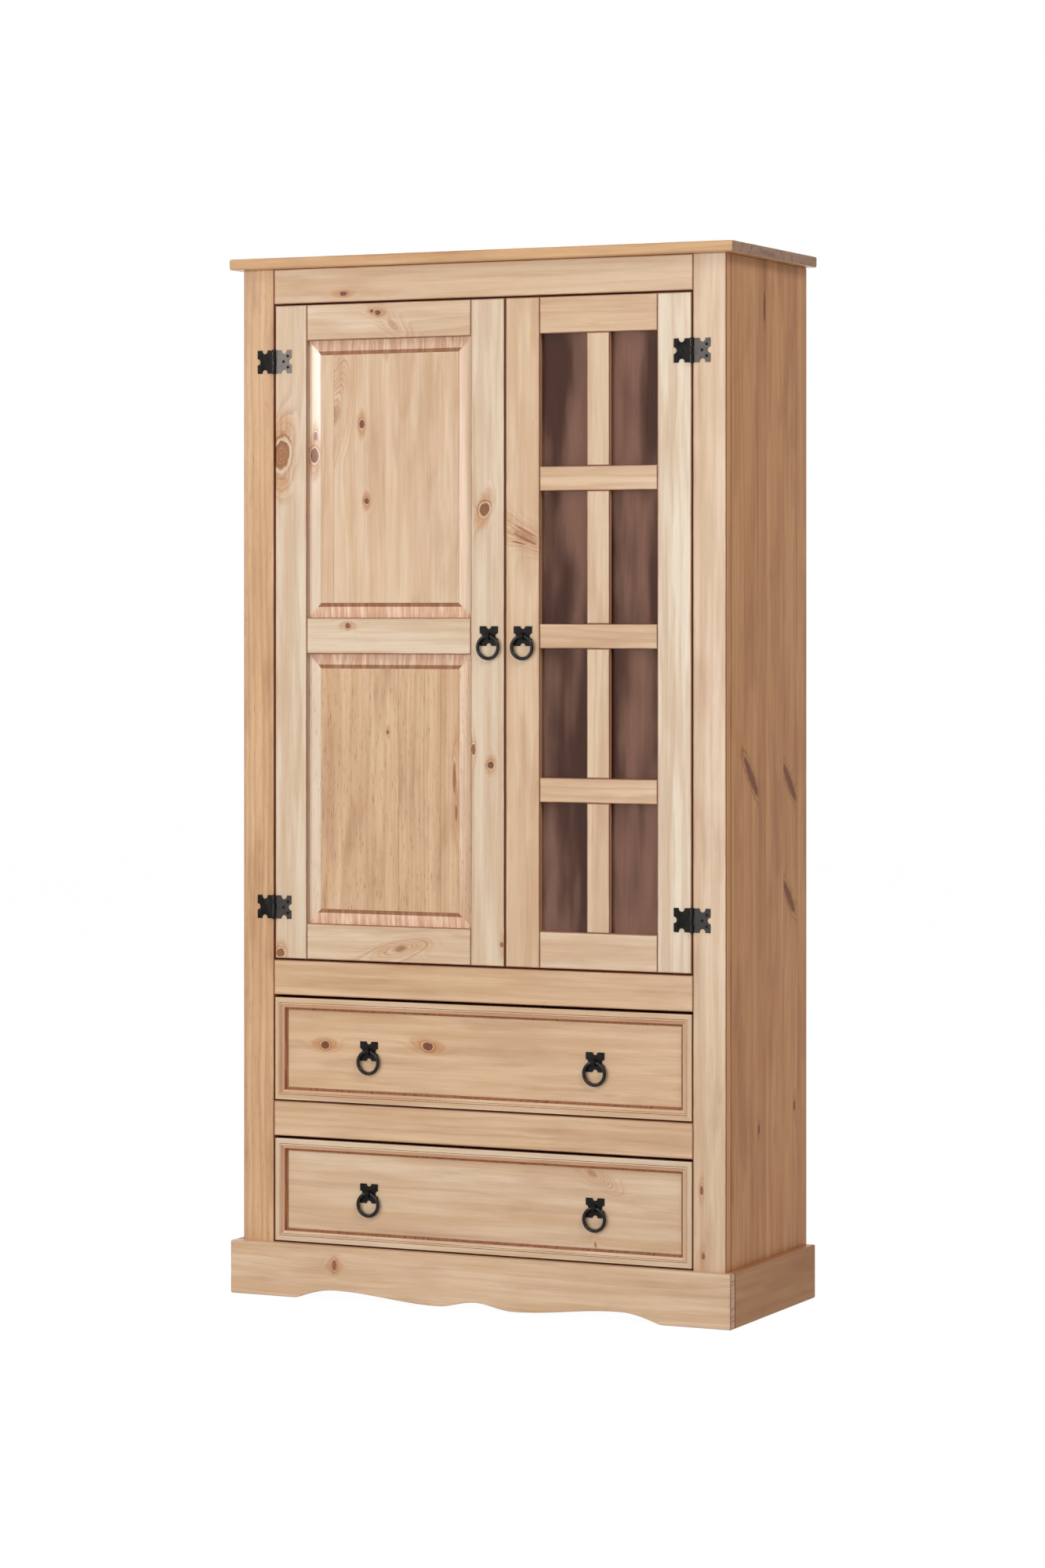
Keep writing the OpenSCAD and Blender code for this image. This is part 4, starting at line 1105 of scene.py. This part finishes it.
class CABINET_OT_right_door(bpy.types.Operator):
    """Makes the glazed door's frame, rebated for the glass, and the bars in front of it"""
    bl_idname = "cabinet.right_door"
    bl_label = "Glazed door"

    def execute(self, context):
        ease = context.scene.cabinet_form.bar_ease
        rebate = (mm(101, -155, 610), mm(324, -140, 1590))
        make_frame_boards("right_door_", "right_door", RIGHT_DOOR_RAILS, {
            "hinge_stile": dict(seed=61, pith=(-80, 50), ring=13, contrast=0.1, bands=0.2,
                                pale=context.scene.cabinet_pine.palest),
            "meeting_stile": dict(seed=62, age=0.45, pith=(60, 60), ring=13, contrast=0.12, knots=(
                (81, 1256, 13, 34, 66, 0.5, 5), (84, 1264, 1.8, 25, 62, 0.6, 0),
                (85, 1250, 2.4, 24, 66, 0.65, 0), (72, 1245, 2, 14, 76, 0.6, 0))),
            "top_rail": dict(seed=63, age=0.5, pith=(-60, 50), ring=12, contrast=0.15),
            "bottom_rail": dict(seed=64, age=0.33, pith=(50, 60), ring=12, contrast=0.15),
        }, rebate)
        half, middles = 20, (846, 1094, 1348)
        for number, middle in enumerate(middles):
            corners = trimmed("right_door_cross_rails", x=RIGHT_DOOR_RAILS,
                              z=(middle - half, middle + half))
            make_board("right_door_cross_rails", "right_door", LEVEL, ease, corners,
                       name=f"cross_rail_{number + 1}_wood", seed=65 + number, age=0.5,
                       pith=(-50, 60), ring=9, contrast=0.25)
        lights = (618, *[middle + way * half for middle in middles for way in (-1, 1)], 1582)
        for number, heights in enumerate(zip(lights[::2], lights[1::2])):
            corners = trimmed("right_door_upright_bars", z=heights)
            make_board("right_door_upright_bars", "right_door", UPRIGHT, ease, corners,
                       name=f"upright_bar_{number + 1}_wood", seed=71 + number, age=0.35,
                       pith=(50, 60), ring=12, contrast=0.15)
        return {"FINISHED"}


class CABINET_OT_glass(bpy.types.Operator):
    """Makes the tinted pane behind the bars"""
    bl_idname = "cabinet.glass"
    bl_label = "Glass"

    def execute(self, context):
        material, nodes, shader = start_material("brown_glass")
        vector = nodes.new("TexCoord").outputs["Object"]
        painted_shade_smear = nodes.noise(vector, 3, 0.55, scale=(16, 16, 2.8))
        # Uneven dark patches painted over the tint: painted shade and painted reflections, as of the
        # dark inside and of the room seen in the pane
        tint = context.scene.cabinet_metal.glass
        deep = Vector(tint) * Vector((0.26, 0.16, 0.12))
        nodes.feed(shader.inputs["Base Color"], nodes.blend(nodes.step(painted_shade_smear, 0.4, 0.62), tint, deep))
        nodes.feed(shader.inputs["Roughness"], nodes.step(painted_shade_smear, 0.3, 0.7, 0.01, 0.05))
        for label, value in (("Transmission Weight", 0.55), ("IOR", 1.5), ("Alpha", 0.55),
                             ("Specular IOR Level", 0.25)):
            shader.inputs[label].default_value = value
        piece = add_block("glass_pane", *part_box("right_door_glass"))
        round_edges(piece, context.scene.cabinet_form.glass_ease)
        smooth(piece)
        dress(piece, material)
        place(piece, "right_door", "tinted_glass", ["right_door_glass"])
        return {"FINISHED"}


def make_moulding(node, name):
    """Makes the mitred moulding round a drawer front by insets from one block."""
    form = bpy.context.scene.cabinet_form
    low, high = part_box(node)
    high.z -= form.drawer_gap
    piece = add_block(name, low, high)
    # The section from the outer edge inwards, as (width, rise) in mm: a flat, a groove, a
    # fillet, a quarter round that falls towards the front board, and a foot.
    section = [(8, 0), (0.45, -0.9), (0.45, 0.45), (2.2, 0), (0.5, -0.9)]
    round_width, round_fall = 6.3, 4.6
    turns = [math.radians(15 * number) for number in range(7)]
    for turn, following in zip(turns, turns[1:]):
        section.append(((math.sin(following) - math.sin(turn)) * round_width,
                        (math.cos(following) - math.cos(turn)) * round_fall))
    section += [(0.3, -0.3), (1.8, 0)]
    inset_front(piece, section)
    total = sum(width for width, rise in section)
    pick_faces(piece, lambda face: face.normal.y > 0.9)
    bpy.ops.mesh.inset(thickness=total * MM, depth=0)
    leave_edit()

    # The innermost faces at the front and the back are opened and bridged
    inner = high.x - low.x - 2 * (total + 1) * MM
    middle = (low + high) / 2

    def is_centre(face):
        across = [piece.data.vertices[i].co.x for i in face.vertices]
        is_wide = max(across) - min(across) > inner
        return abs(face.normal.y) > 0.9 and is_wide and abs(face.center.z - middle.z) < MM

    pick_faces(piece, is_centre)
    bpy.ops.mesh.bridge_edge_loops()
    leave_edit()
    turn_outwards(piece)
    round_edges(piece, form.moulding_ease, 2, 40)
    smooth(piece, 30)
    return piece, low, high


# Places on the moulding in mm from its outer edge: two grooves, the part that gets painted shade on the
# top and left lengths, the steep end of the quarter round, and the foot
OUTER_GROOVE, INNER_GROOVE = (8.05, 8.9), (11.1, 11.6)
PAINTED_SHADE_START, STEEP_START, FOOT_START = 11.6, 14.4, 16.6


def moulding_finish(face, middle, half):
    """The number of a moulding face's material, from how far in from the outer edge it lies."""
    away = face.center - middle
    from_side, from_end = (half.x - abs(away.x)) / MM, (half.z - abs(away.z)) / MM
    inward = min(from_side, from_end)
    beside = from_side < from_end
    in_groove = any(start < inward < stop for start, stop in (OUTER_GROOVE, INNER_GROOVE))
    is_steep = inward > STEEP_START and abs(face.normal.y) < 0.8
    # Grooves, the steep end of the quarter round and the foot take the groove tone: wax in the hollows,
    # and painted shade of the recess
    if in_groove or is_steep or inward > FOOT_START:
        return 2
    # Inner slopes of the top and left lengths face down or right, and get painted shade: darker copies
    # of the wood
    in_painted_shade = inward > PAINTED_SHADE_START and (away.x < 0 if beside else away.z > 0)
    return 3 + beside if in_painted_shade else beside


class CABINET_OT_drawer_fronts(bpy.types.Operator):
    """Makes the drawer fronts and the moulding round them"""
    bl_idname = "cabinet.drawer_fronts"
    bl_label = "Drawer fronts"

    def execute(self, context):
        pine = context.scene.cabinet_pine
        # Painted shade: darker tones for the moulding's inner slopes that face down or right
        shade = (pine.moulding_painted_shade_pale, pine.moulding_painted_shade_middle, pine.deep_late)
        under_moulding = -18.6
        looks = {
            "upper_drawer": (81, 0.62, ((-285.9, 417.3, 6.5, 8, 0, 1, 3),
                                        (-96.3, 422.8, 6.5, 10, 8, 1, 3))),
            "lower_drawer": (84, 0.34, ((197.5, 231.4, 8, 16, 30, 0.3, 6),
                                        (204.4, 117.1, 3, 8, 80, 0.4, 1))),
        }
        for body, (seed, age, knots) in looks.items():
            low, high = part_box(body + "_front")
            high.z -= context.scene.cabinet_form.drawer_gap
            make_board(body + "_front", body, LEVEL, corners=(low, high), seed=seed, age=age,
                       pith=(-20, 70), ring=15, wander=30, contrast=0.14, knots=knots,
                       free=(under_moulding, under_moulding))
            piece, low, high = make_moulding(body + "_moulding", body + "_moulding_wood")
            # The edge tint lightens and pales the moulding's edges and joint lines instead of darkening
            # them
            look = dict(pith=(60, 40), ring=9, contrast=0.15, resin=0.1, age=age - 0.15,
                        tint=(1.1, 1.18, 1.25), line=0.7)
            level, upright, painted_shade_level, painted_shade_upright = [
                pine_material(body + part, lay, low, high, number, tones=tones, **look)
                for part, lay, number, tones in (
                    ("_moulding_level", LEVEL, seed + 1, None),
                    ("_moulding_upright", UPRIGHT, seed + 2, None),
                    ("_moulding_top", LEVEL, seed + 1, shade),
                    ("_moulding_left", UPRIGHT, seed + 2, shade))]
            middle, half = (low + high) / 2, (high - low) / 2
            dress(piece, level, upright, kept("waxed_groove"), painted_shade_level, painted_shade_upright,
                  choose=lambda face: moulding_finish(face, middle, half))
            place(piece, body, "waxed_pine", [body + "_moulding"])
        return {"FINISHED"}


def dress_cad(node, material, ease=None):
    """Gives a CAD node, whose shape is right, its finish, and eases its edges."""
    node.data.materials.clear()
    node.data.materials.append(material)
    if ease:
        node.modifiers.new("Weld", "WELD").merge_threshold = 1e-6
        flat = node.modifiers.new("Planar", "DECIMATE")
        flat.decimate_type = "DISSOLVE"
        flat.angle_limit = math.radians(1)
        edges = node.modifiers.new("Ease", "BEVEL")
        edges.width = ease
        edges.segments = 2
        edges.limit_method = "ANGLE"
        edges.angle_limit = math.radians(40)


class CABINET_OT_inside(bpy.types.Operator):
    """Finishes the boards inside the cabinet and the drawers, the beads and the catches"""
    bl_idname = "cabinet.inside"
    bl_label = "Inside"

    def execute(self, context):
        form = context.scene.cabinet_form
        pale = context.scene.cabinet_pine.inside
        # Each material serves boards in several places, with its joint lines outside them all
        far_out = 900
        lays = {
            "inside_level": (FLAT, ("bottom_deck", "cupboard_floor", "shelf_upper", "shelf_middle",
                                    "shelf_lower")),
            "inside_upright": (UPRIGHT, ("back_panel",)),
            "inside_return": (RETURN, ("drawer_runners", "shelf_battens")),
            "inside_drawer": (LEVEL, ("upper_drawer_box", "lower_drawer_box")),
            "inside_bottom": (FLAT, ("upper_drawer_bottom", "lower_drawer_bottom")),
            "glazing_beads": (UPRIGHT, ("right_door_glazing_beads",)),
        }
        for seed, (name, (lay, nodes)) in enumerate(lays.items(), 90):
            low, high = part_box(nodes[0])
            material = pine_material(name, lay, low, high, seed, ring=8, wander=18, contrast=0.45,
                                     pale=pale, free=(far_out, far_out))
            slot = "waxed_pine" if name == "glazing_beads" else "inside_pine"
            for node in nodes:
                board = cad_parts[node]
                is_thick = min(board.dimensions) > 10 * MM
                dress_cad(board, material, form.inside_ease if is_thick else form.thin_ease)
        dress_cad(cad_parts["door_catches"], kept("forged_black"), form.catch_ease)
        return {"FINISHED"}


# Iron, with its sizes in mm

HINGE_HEIGHTS = (643.5, 1548.5)
HINGE_AXIS = (376.25, -168.4)
LEAF_START, LEAF_REACH, LEAF_HALF_HEIGHT = 3.8, 31.5, 19.25
LEAF_FRONT, LEAF_BACK, LEAF_NOTCH = 1.9, 3.4, 5.2
KNUCKLE_RADIUS, KNUCKLE_LONG, OUTER_KNUCKLE = 3.2, 12.63, 12.93
SCREW_RADIUS, SCREW_HIGH, SCREW_DOME, SCREW_BEHIND = 2.4, 1.1, 0.75, 1.5
SCREW_SPOTS = ((17.5, 0), (25.5, 9.3), (25.5, -9.3))
PULL_HALF_WIDTH, PULL_HALF_HEIGHT, PULL_THICK, PULL_NOTCH = 16.25, 16, 1.6, 4.4
BOSS_RADIUS, BOSS_HIGH, BOSS_DOME = 6.2, 2.2, 0.9
EYE_RADIUS, EYE_LONG, EYE_BORE, EYE_OUT, EYE_EDGE = 5.6, 6.5, 3.4, 5, 0.4
RING_RADIUS, RING_WIRE = 18.2, 2.8
DOOR_PULL_HEIGHT, DRAWER_PULL_X = 1094, 204


def make_leaf(name, knuckles):
    """Makes one hinge leaf beside its axis, reaching to the right, with knuckles at these heights."""
    half = LEAF_HALF_HEIGHT
    plate = add_block(name, mm(LEAF_START, LEAF_FRONT, -half), mm(LEAF_REACH, LEAF_BACK, half))
    for x, z in ((18, half - 1), (18, 1 - half), (LEAF_REACH, 0)):
        merge(plate, add_rod("notch", mm(x, 2.6, z), LEAF_NOTCH * MM, 8 * MM), "DIFFERENCE")
    for middle in knuckles:
        low, high = middle - KNUCKLE_LONG / 2, middle + KNUCKLE_LONG / 2
        tab = add_block("tab", mm(0, LEAF_FRONT, low), mm(LEAF_START + 0.5, LEAF_BACK, high))
        merge(plate, tab, "UNION")
        rod = add_rod("knuckle", mm(0, 0, middle), KNUCKLE_RADIUS * MM, KNUCKLE_LONG * MM, "Z")
        merge(plate, rod, "UNION")
    round_edges(plate, bpy.context.scene.cabinet_form.plate_ease, 2, 40)
    smooth(plate, 35)
    return plate


def make_screw(name):
    """Makes a domed screw head with a cross slot, with its middle at the origin."""
    head = add_rod(name, mm(0, 0, 0), SCREW_RADIUS * MM, SCREW_HIGH * MM, "Y", 20)
    round_edges(head, SCREW_DOME * MM, 3, 40)
    slot, (long, deep, narrow) = mm(0, -0.55, 0), (1.5, 0.35, 0.28)
    for half in (mm(long, deep, narrow), mm(narrow, deep, long)):
        merge(head, add_block("slot", slot - half, slot + half), "DIFFERENCE")
    smooth(head, 35)
    return head


class CABINET_OT_hinges(bpy.types.Operator):
    """Makes the iron butterfly hinges with their screws"""
    bl_idname = "cabinet.hinges"
    bl_label = "Hinges"

    def execute(self, context):
        outer = make_leaf("outer_leaf", (-OUTER_KNUCKLE, OUTER_KNUCKLE))
        inner = make_leaf("inner_leaf", (0,))
        screw = make_screw("screw")
        # The leaves that reach to the right of their axis get grey finishes: painted reflections of the
        # light that these leaves catch
        rubbed = {("door", "upper"): "rubbed_iron", ("door", "lower"): "grey_iron",
                  ("frame", "upper"): "bright_iron", ("frame", "lower"): "grey_iron"}
        for side, door in ((-1, "left_door"), (1, "right_door")):
            for level, height in zip(("lower", "upper"), HINGE_HEIGHTS):
                axis = mm(side * HINGE_AXIS[0], HINGE_AXIS[1], height)
                for kind, leaf, way, body in (("frame", outer, side, "cabinet"),
                                              ("door", inner, -side, door)):
                    owner = "frame" if kind == "frame" else door
                    name = f"{door}_{level}_{kind}"
                    copy = copy_piece(leaf, name + "_leaf", axis, (way, 1, 1))
                    dress(copy, kept(rubbed[kind, level] if way > 0 else "forged_black"),
                          kept("ring_iron"),
                          choose=lambda face: abs(face.center.x - axis.x) < LEAF_START * MM)
                    place(copy, body, "black_iron", [owner + "_hinge_leaves"])
                    for number, (x, z) in enumerate(SCREW_SPOTS):
                        head = copy_piece(screw, f"{name}_screw_{number + 1}",
                                          axis + mm(way * x, SCREW_BEHIND, z))
                        dress(head, kept("forged_black"))
                        place(head, body, "black_iron", [owner + "_hinge_screws"])
        for model in (outer, inner, screw):
            bpy.data.objects.remove(model)
        dress_cad(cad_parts["hinge_pins"], kept("forged_black"))
        return {"FINISHED"}


def make_pull_plate():
    """Makes a notched plate with a boss and the eye that holds the ring."""
    corner = mm(PULL_HALF_WIDTH, 0, PULL_HALF_HEIGHT)
    plate = add_block("plate", -corner - mm(0, PULL_THICK, 0), corner)
    for x, z in ((PULL_HALF_WIDTH, 0), (-PULL_HALF_WIDTH, 0), (0, PULL_HALF_HEIGHT),
                 (0, -PULL_HALF_HEIGHT)):
        notch = add_rod("notch", mm(x, -PULL_THICK / 2, z), PULL_NOTCH * MM, 6 * MM)
        merge(plate, notch, "DIFFERENCE")
    round_edges(plate, bpy.context.scene.cabinet_form.plate_ease, 2, 40)
    boss = add_rod("boss", mm(0, -2.4, 0), BOSS_RADIUS * MM, BOSS_HIGH * MM)
    round_edges(boss, BOSS_DOME * MM, 3, 40)
    merge(plate, boss, "UNION")
    middle = mm(0, -EYE_OUT, 0)
    eye = add_rod("eye", middle, EYE_RADIUS * MM, EYE_LONG * MM, "X")
    merge(eye, add_rod("bore", middle, EYE_BORE * MM, 9 * MM, "X", 24), "DIFFERENCE")
    round_edges(eye, EYE_EDGE * MM, 2, 40)
    merge(plate, eye, "UNION")
    smooth(plate, 35)
    return plate


class CABINET_OT_pulls(bpy.types.Operator):
    """Makes the notched pull plates and the rings that hang in them"""
    bl_idname = "cabinet.pulls"
    bl_label = "Ring pulls"

    def execute(self, context):
        plate = make_pull_plate()
        clear_selection()
        bpy.ops.mesh.primitive_torus_add(major_radius=RING_RADIUS * MM, minor_radius=RING_WIRE * MM,
                                         major_segments=72, minor_segments=20,
                                         location=mm(0, -EYE_OUT, -RING_RADIUS),
                                         rotation=(math.pi / 2, 0, 0))
        ring = settle("ring")
        smooth(ring, 60)
        pulls = [(door, door + "_pull_plate", door + "_ring", mm(x, -165, DOOR_PULL_HEIGHT))
                 for door, x in (("left_door", 18.5), ("right_door", 79.5))]
        for drawer, height in (("upper_drawer", 410), ("lower_drawer", 176)):
            for side, way in (("left", -1), ("right", 1)):
                pulls.append((drawer, drawer + "_pull_plates", f"{drawer}_ring_{side}",
                              mm(way * DRAWER_PULL_X, -157, height)))
        for body, node, ring_body, spot in pulls:
            copy = copy_piece(plate, ring_body + "_plate", spot)
            dress(copy, kept("forged_black"))
            place(copy, body, "black_iron", [node])
            hoop = copy_piece(ring, ring_body + "_hoop", spot)
            dress(hoop, kept("ring_iron"))
            place(hoop, ring_body, "black_iron", [ring_body])
        for model in (plate, ring):
            bpy.data.objects.remove(model)
        return {"FINISHED"}


# The size and place in metres of each soft light
LAMPS = {
    "key": ((0.5, 0.95), (-2.76, -3.3, 2.1)),
    "front": ((0.9, 3.0), (-1.15, -4.97, 1.1)),
    "side": ((1.6, 1.6), (3.3, -2.4, 4.4)),
    "rear": ((1.6, 1.6), (-1.8, 4.2, 2.6)),
}
# Place in metres, turn in degrees and lens in mm that give the lines of the photographed cabinet
CAMERA_PLACE = (3.0445, -6.4716, 1.1290)
CAMERA_TURN, CAMERA_LENS, CAMERA_SHIFT = 25.187, 98.99, -0.1081


class CABINET_OT_stage(bpy.types.Operator):
    """Makes the pale floor, the soft lights and the camera"""
    bl_idname = "cabinet.stage"
    bl_label = "Stage"

    def execute(self, context):
        light = context.scene.cabinet_light
        self.make_floor()

        world = bpy.data.worlds.new("studio")
        context.scene.world = world
        world.use_nodes = True
        nodes = Nodes(world.node_tree)
        background = world.node_tree.nodes["Background"]
        background.inputs["Color"].default_value = (1, 1, 1, 1)
        nodes.feed(background.inputs["Strength"],
                   self.seen_rays(nodes) * (1 - light.ambient) + light.ambient)

        for name, (size, spot) in LAMPS.items():
            self.add_lamp(name + "_light", getattr(light, name), size, spot)

        camera = bpy.data.cameras.new("camera")
        viewer = bpy.data.objects.new("camera", camera)
        context.scene.collection.objects.link(viewer)
        viewer.location = CAMERA_PLACE
        viewer.rotation_euler = (math.radians(90), 0, math.radians(CAMERA_TURN))
        camera.lens = CAMERA_LENS
        camera.sensor_width = 36
        camera.shift_y = CAMERA_SHIFT
        context.scene.camera = viewer
        context.scene.view_settings.view_transform = "Standard"
        return {"FINISHED"}

    def make_floor(self):
        """Makes a floor that looks white to the camera and still throws light like a pale one."""
        clear_selection()
        bpy.ops.mesh.primitive_plane_add(size=30, location=(0, 0, 0))
        floor = settle("floor")
        material, nodes, shader = start_material("pale_floor")
        vector = nodes.new("TexCoord").outputs["Object"]
        cloud = nodes.noise(vector, scale=(0.8, 0.8, 0.8))
        nodes.feed(shader.inputs["Base Color"], nodes.blend(cloud, (0.8, 0.8, 0.8), (0.84, 0.84, 0.84)))
        shader.inputs["Roughness"].default_value = 0.9
        glow = nodes.new("Emission")
        glow.inputs["Strength"].default_value = 1.05
        mix = nodes.new("MixShader")
        nodes.filled(mix, (self.seen_rays(nodes) * 0.93, shader.outputs[0], glow.outputs[0]))
        output = material.node_tree.nodes["Material Output"]
        nodes.feed(output.inputs["Surface"], mix.outputs[0])
        floor.data.materials.append(material)

    @staticmethod
    def seen_rays(nodes):
        """1 for the rays that the camera sees straight, in a reflection or through the glass."""
        path = nodes.new("LightPath").outputs
        direct = nodes.most(path["Is Camera Ray"], path["Is Glossy Ray"])
        return nodes.most(direct, path["Is Transmission Ray"])

    @staticmethod
    def add_lamp(name, power, size, spot):
        """Adds a soft light of this width and height that faces the middle of the cabinet."""
        lamp = bpy.data.lights.new(name, "AREA")
        lamp.energy = power
        lamp.shape = "RECTANGLE"
        lamp.size, lamp.size_y = size
        holder = bpy.data.objects.new(name, lamp)
        bpy.context.scene.collection.objects.link(holder)
        holder.location = spot
        aim = Vector((0, 0, 0.9)) - Vector(spot)
        holder.rotation_euler = aim.to_track_quat("-Z", "Y").to_euler()


OPERATORS = (
    CABINET_OT_finishes,
    CABINET_OT_top,
    CABINET_OT_carcase,
    CABINET_OT_face_frame,
    CABINET_OT_plinth,
    CABINET_OT_left_door,
    CABINET_OT_right_door,
    CABINET_OT_glass,
    CABINET_OT_drawer_fronts,
    CABINET_OT_inside,
    CABINET_OT_hinges,
    CABINET_OT_pulls,
    CABINET_OT_stage,
)


class CABINET_PT_sidebar(bpy.types.Panel):
    """Lists the settings and the operators"""
    bl_label = "Pine display cabinet"
    bl_idname = "CABINET_PT_sidebar"
    bl_space_type = "VIEW_3D"
    bl_region_type = "UI"
    bl_category = "Cabinet"

    def draw(self, context):
        for name, group in GROUPS.items():
            box = self.layout.box()
            for key in group.__annotations__:
                box.prop(getattr(context.scene, name), key)
        for operator in OPERATORS:
            self.layout.operator(operator.bl_idname)


def register():
    for name, group in GROUPS.items():
        bpy.utils.register_class(group)
        setattr(bpy.types.Scene, name, PointerProperty(type=group))
    for operator in OPERATORS:
        bpy.utils.register_class(operator)
    bpy.utils.register_class(CABINET_PT_sidebar)


def unregister():
    bpy.utils.unregister_class(CABINET_PT_sidebar)
    for operator in reversed(OPERATORS):
        bpy.utils.unregister_class(operator)
    for name, group in GROUPS.items():
        delattr(bpy.types.Scene, name)
        bpy.utils.unregister_class(group)


def main():
    """Registers the classes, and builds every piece."""
    register()
    for operator in OPERATORS:
        action = operator.bl_idname.split(".")[1]
        getattr(bpy.ops.cabinet, action)()


if __name__ == "__main__":
    main()
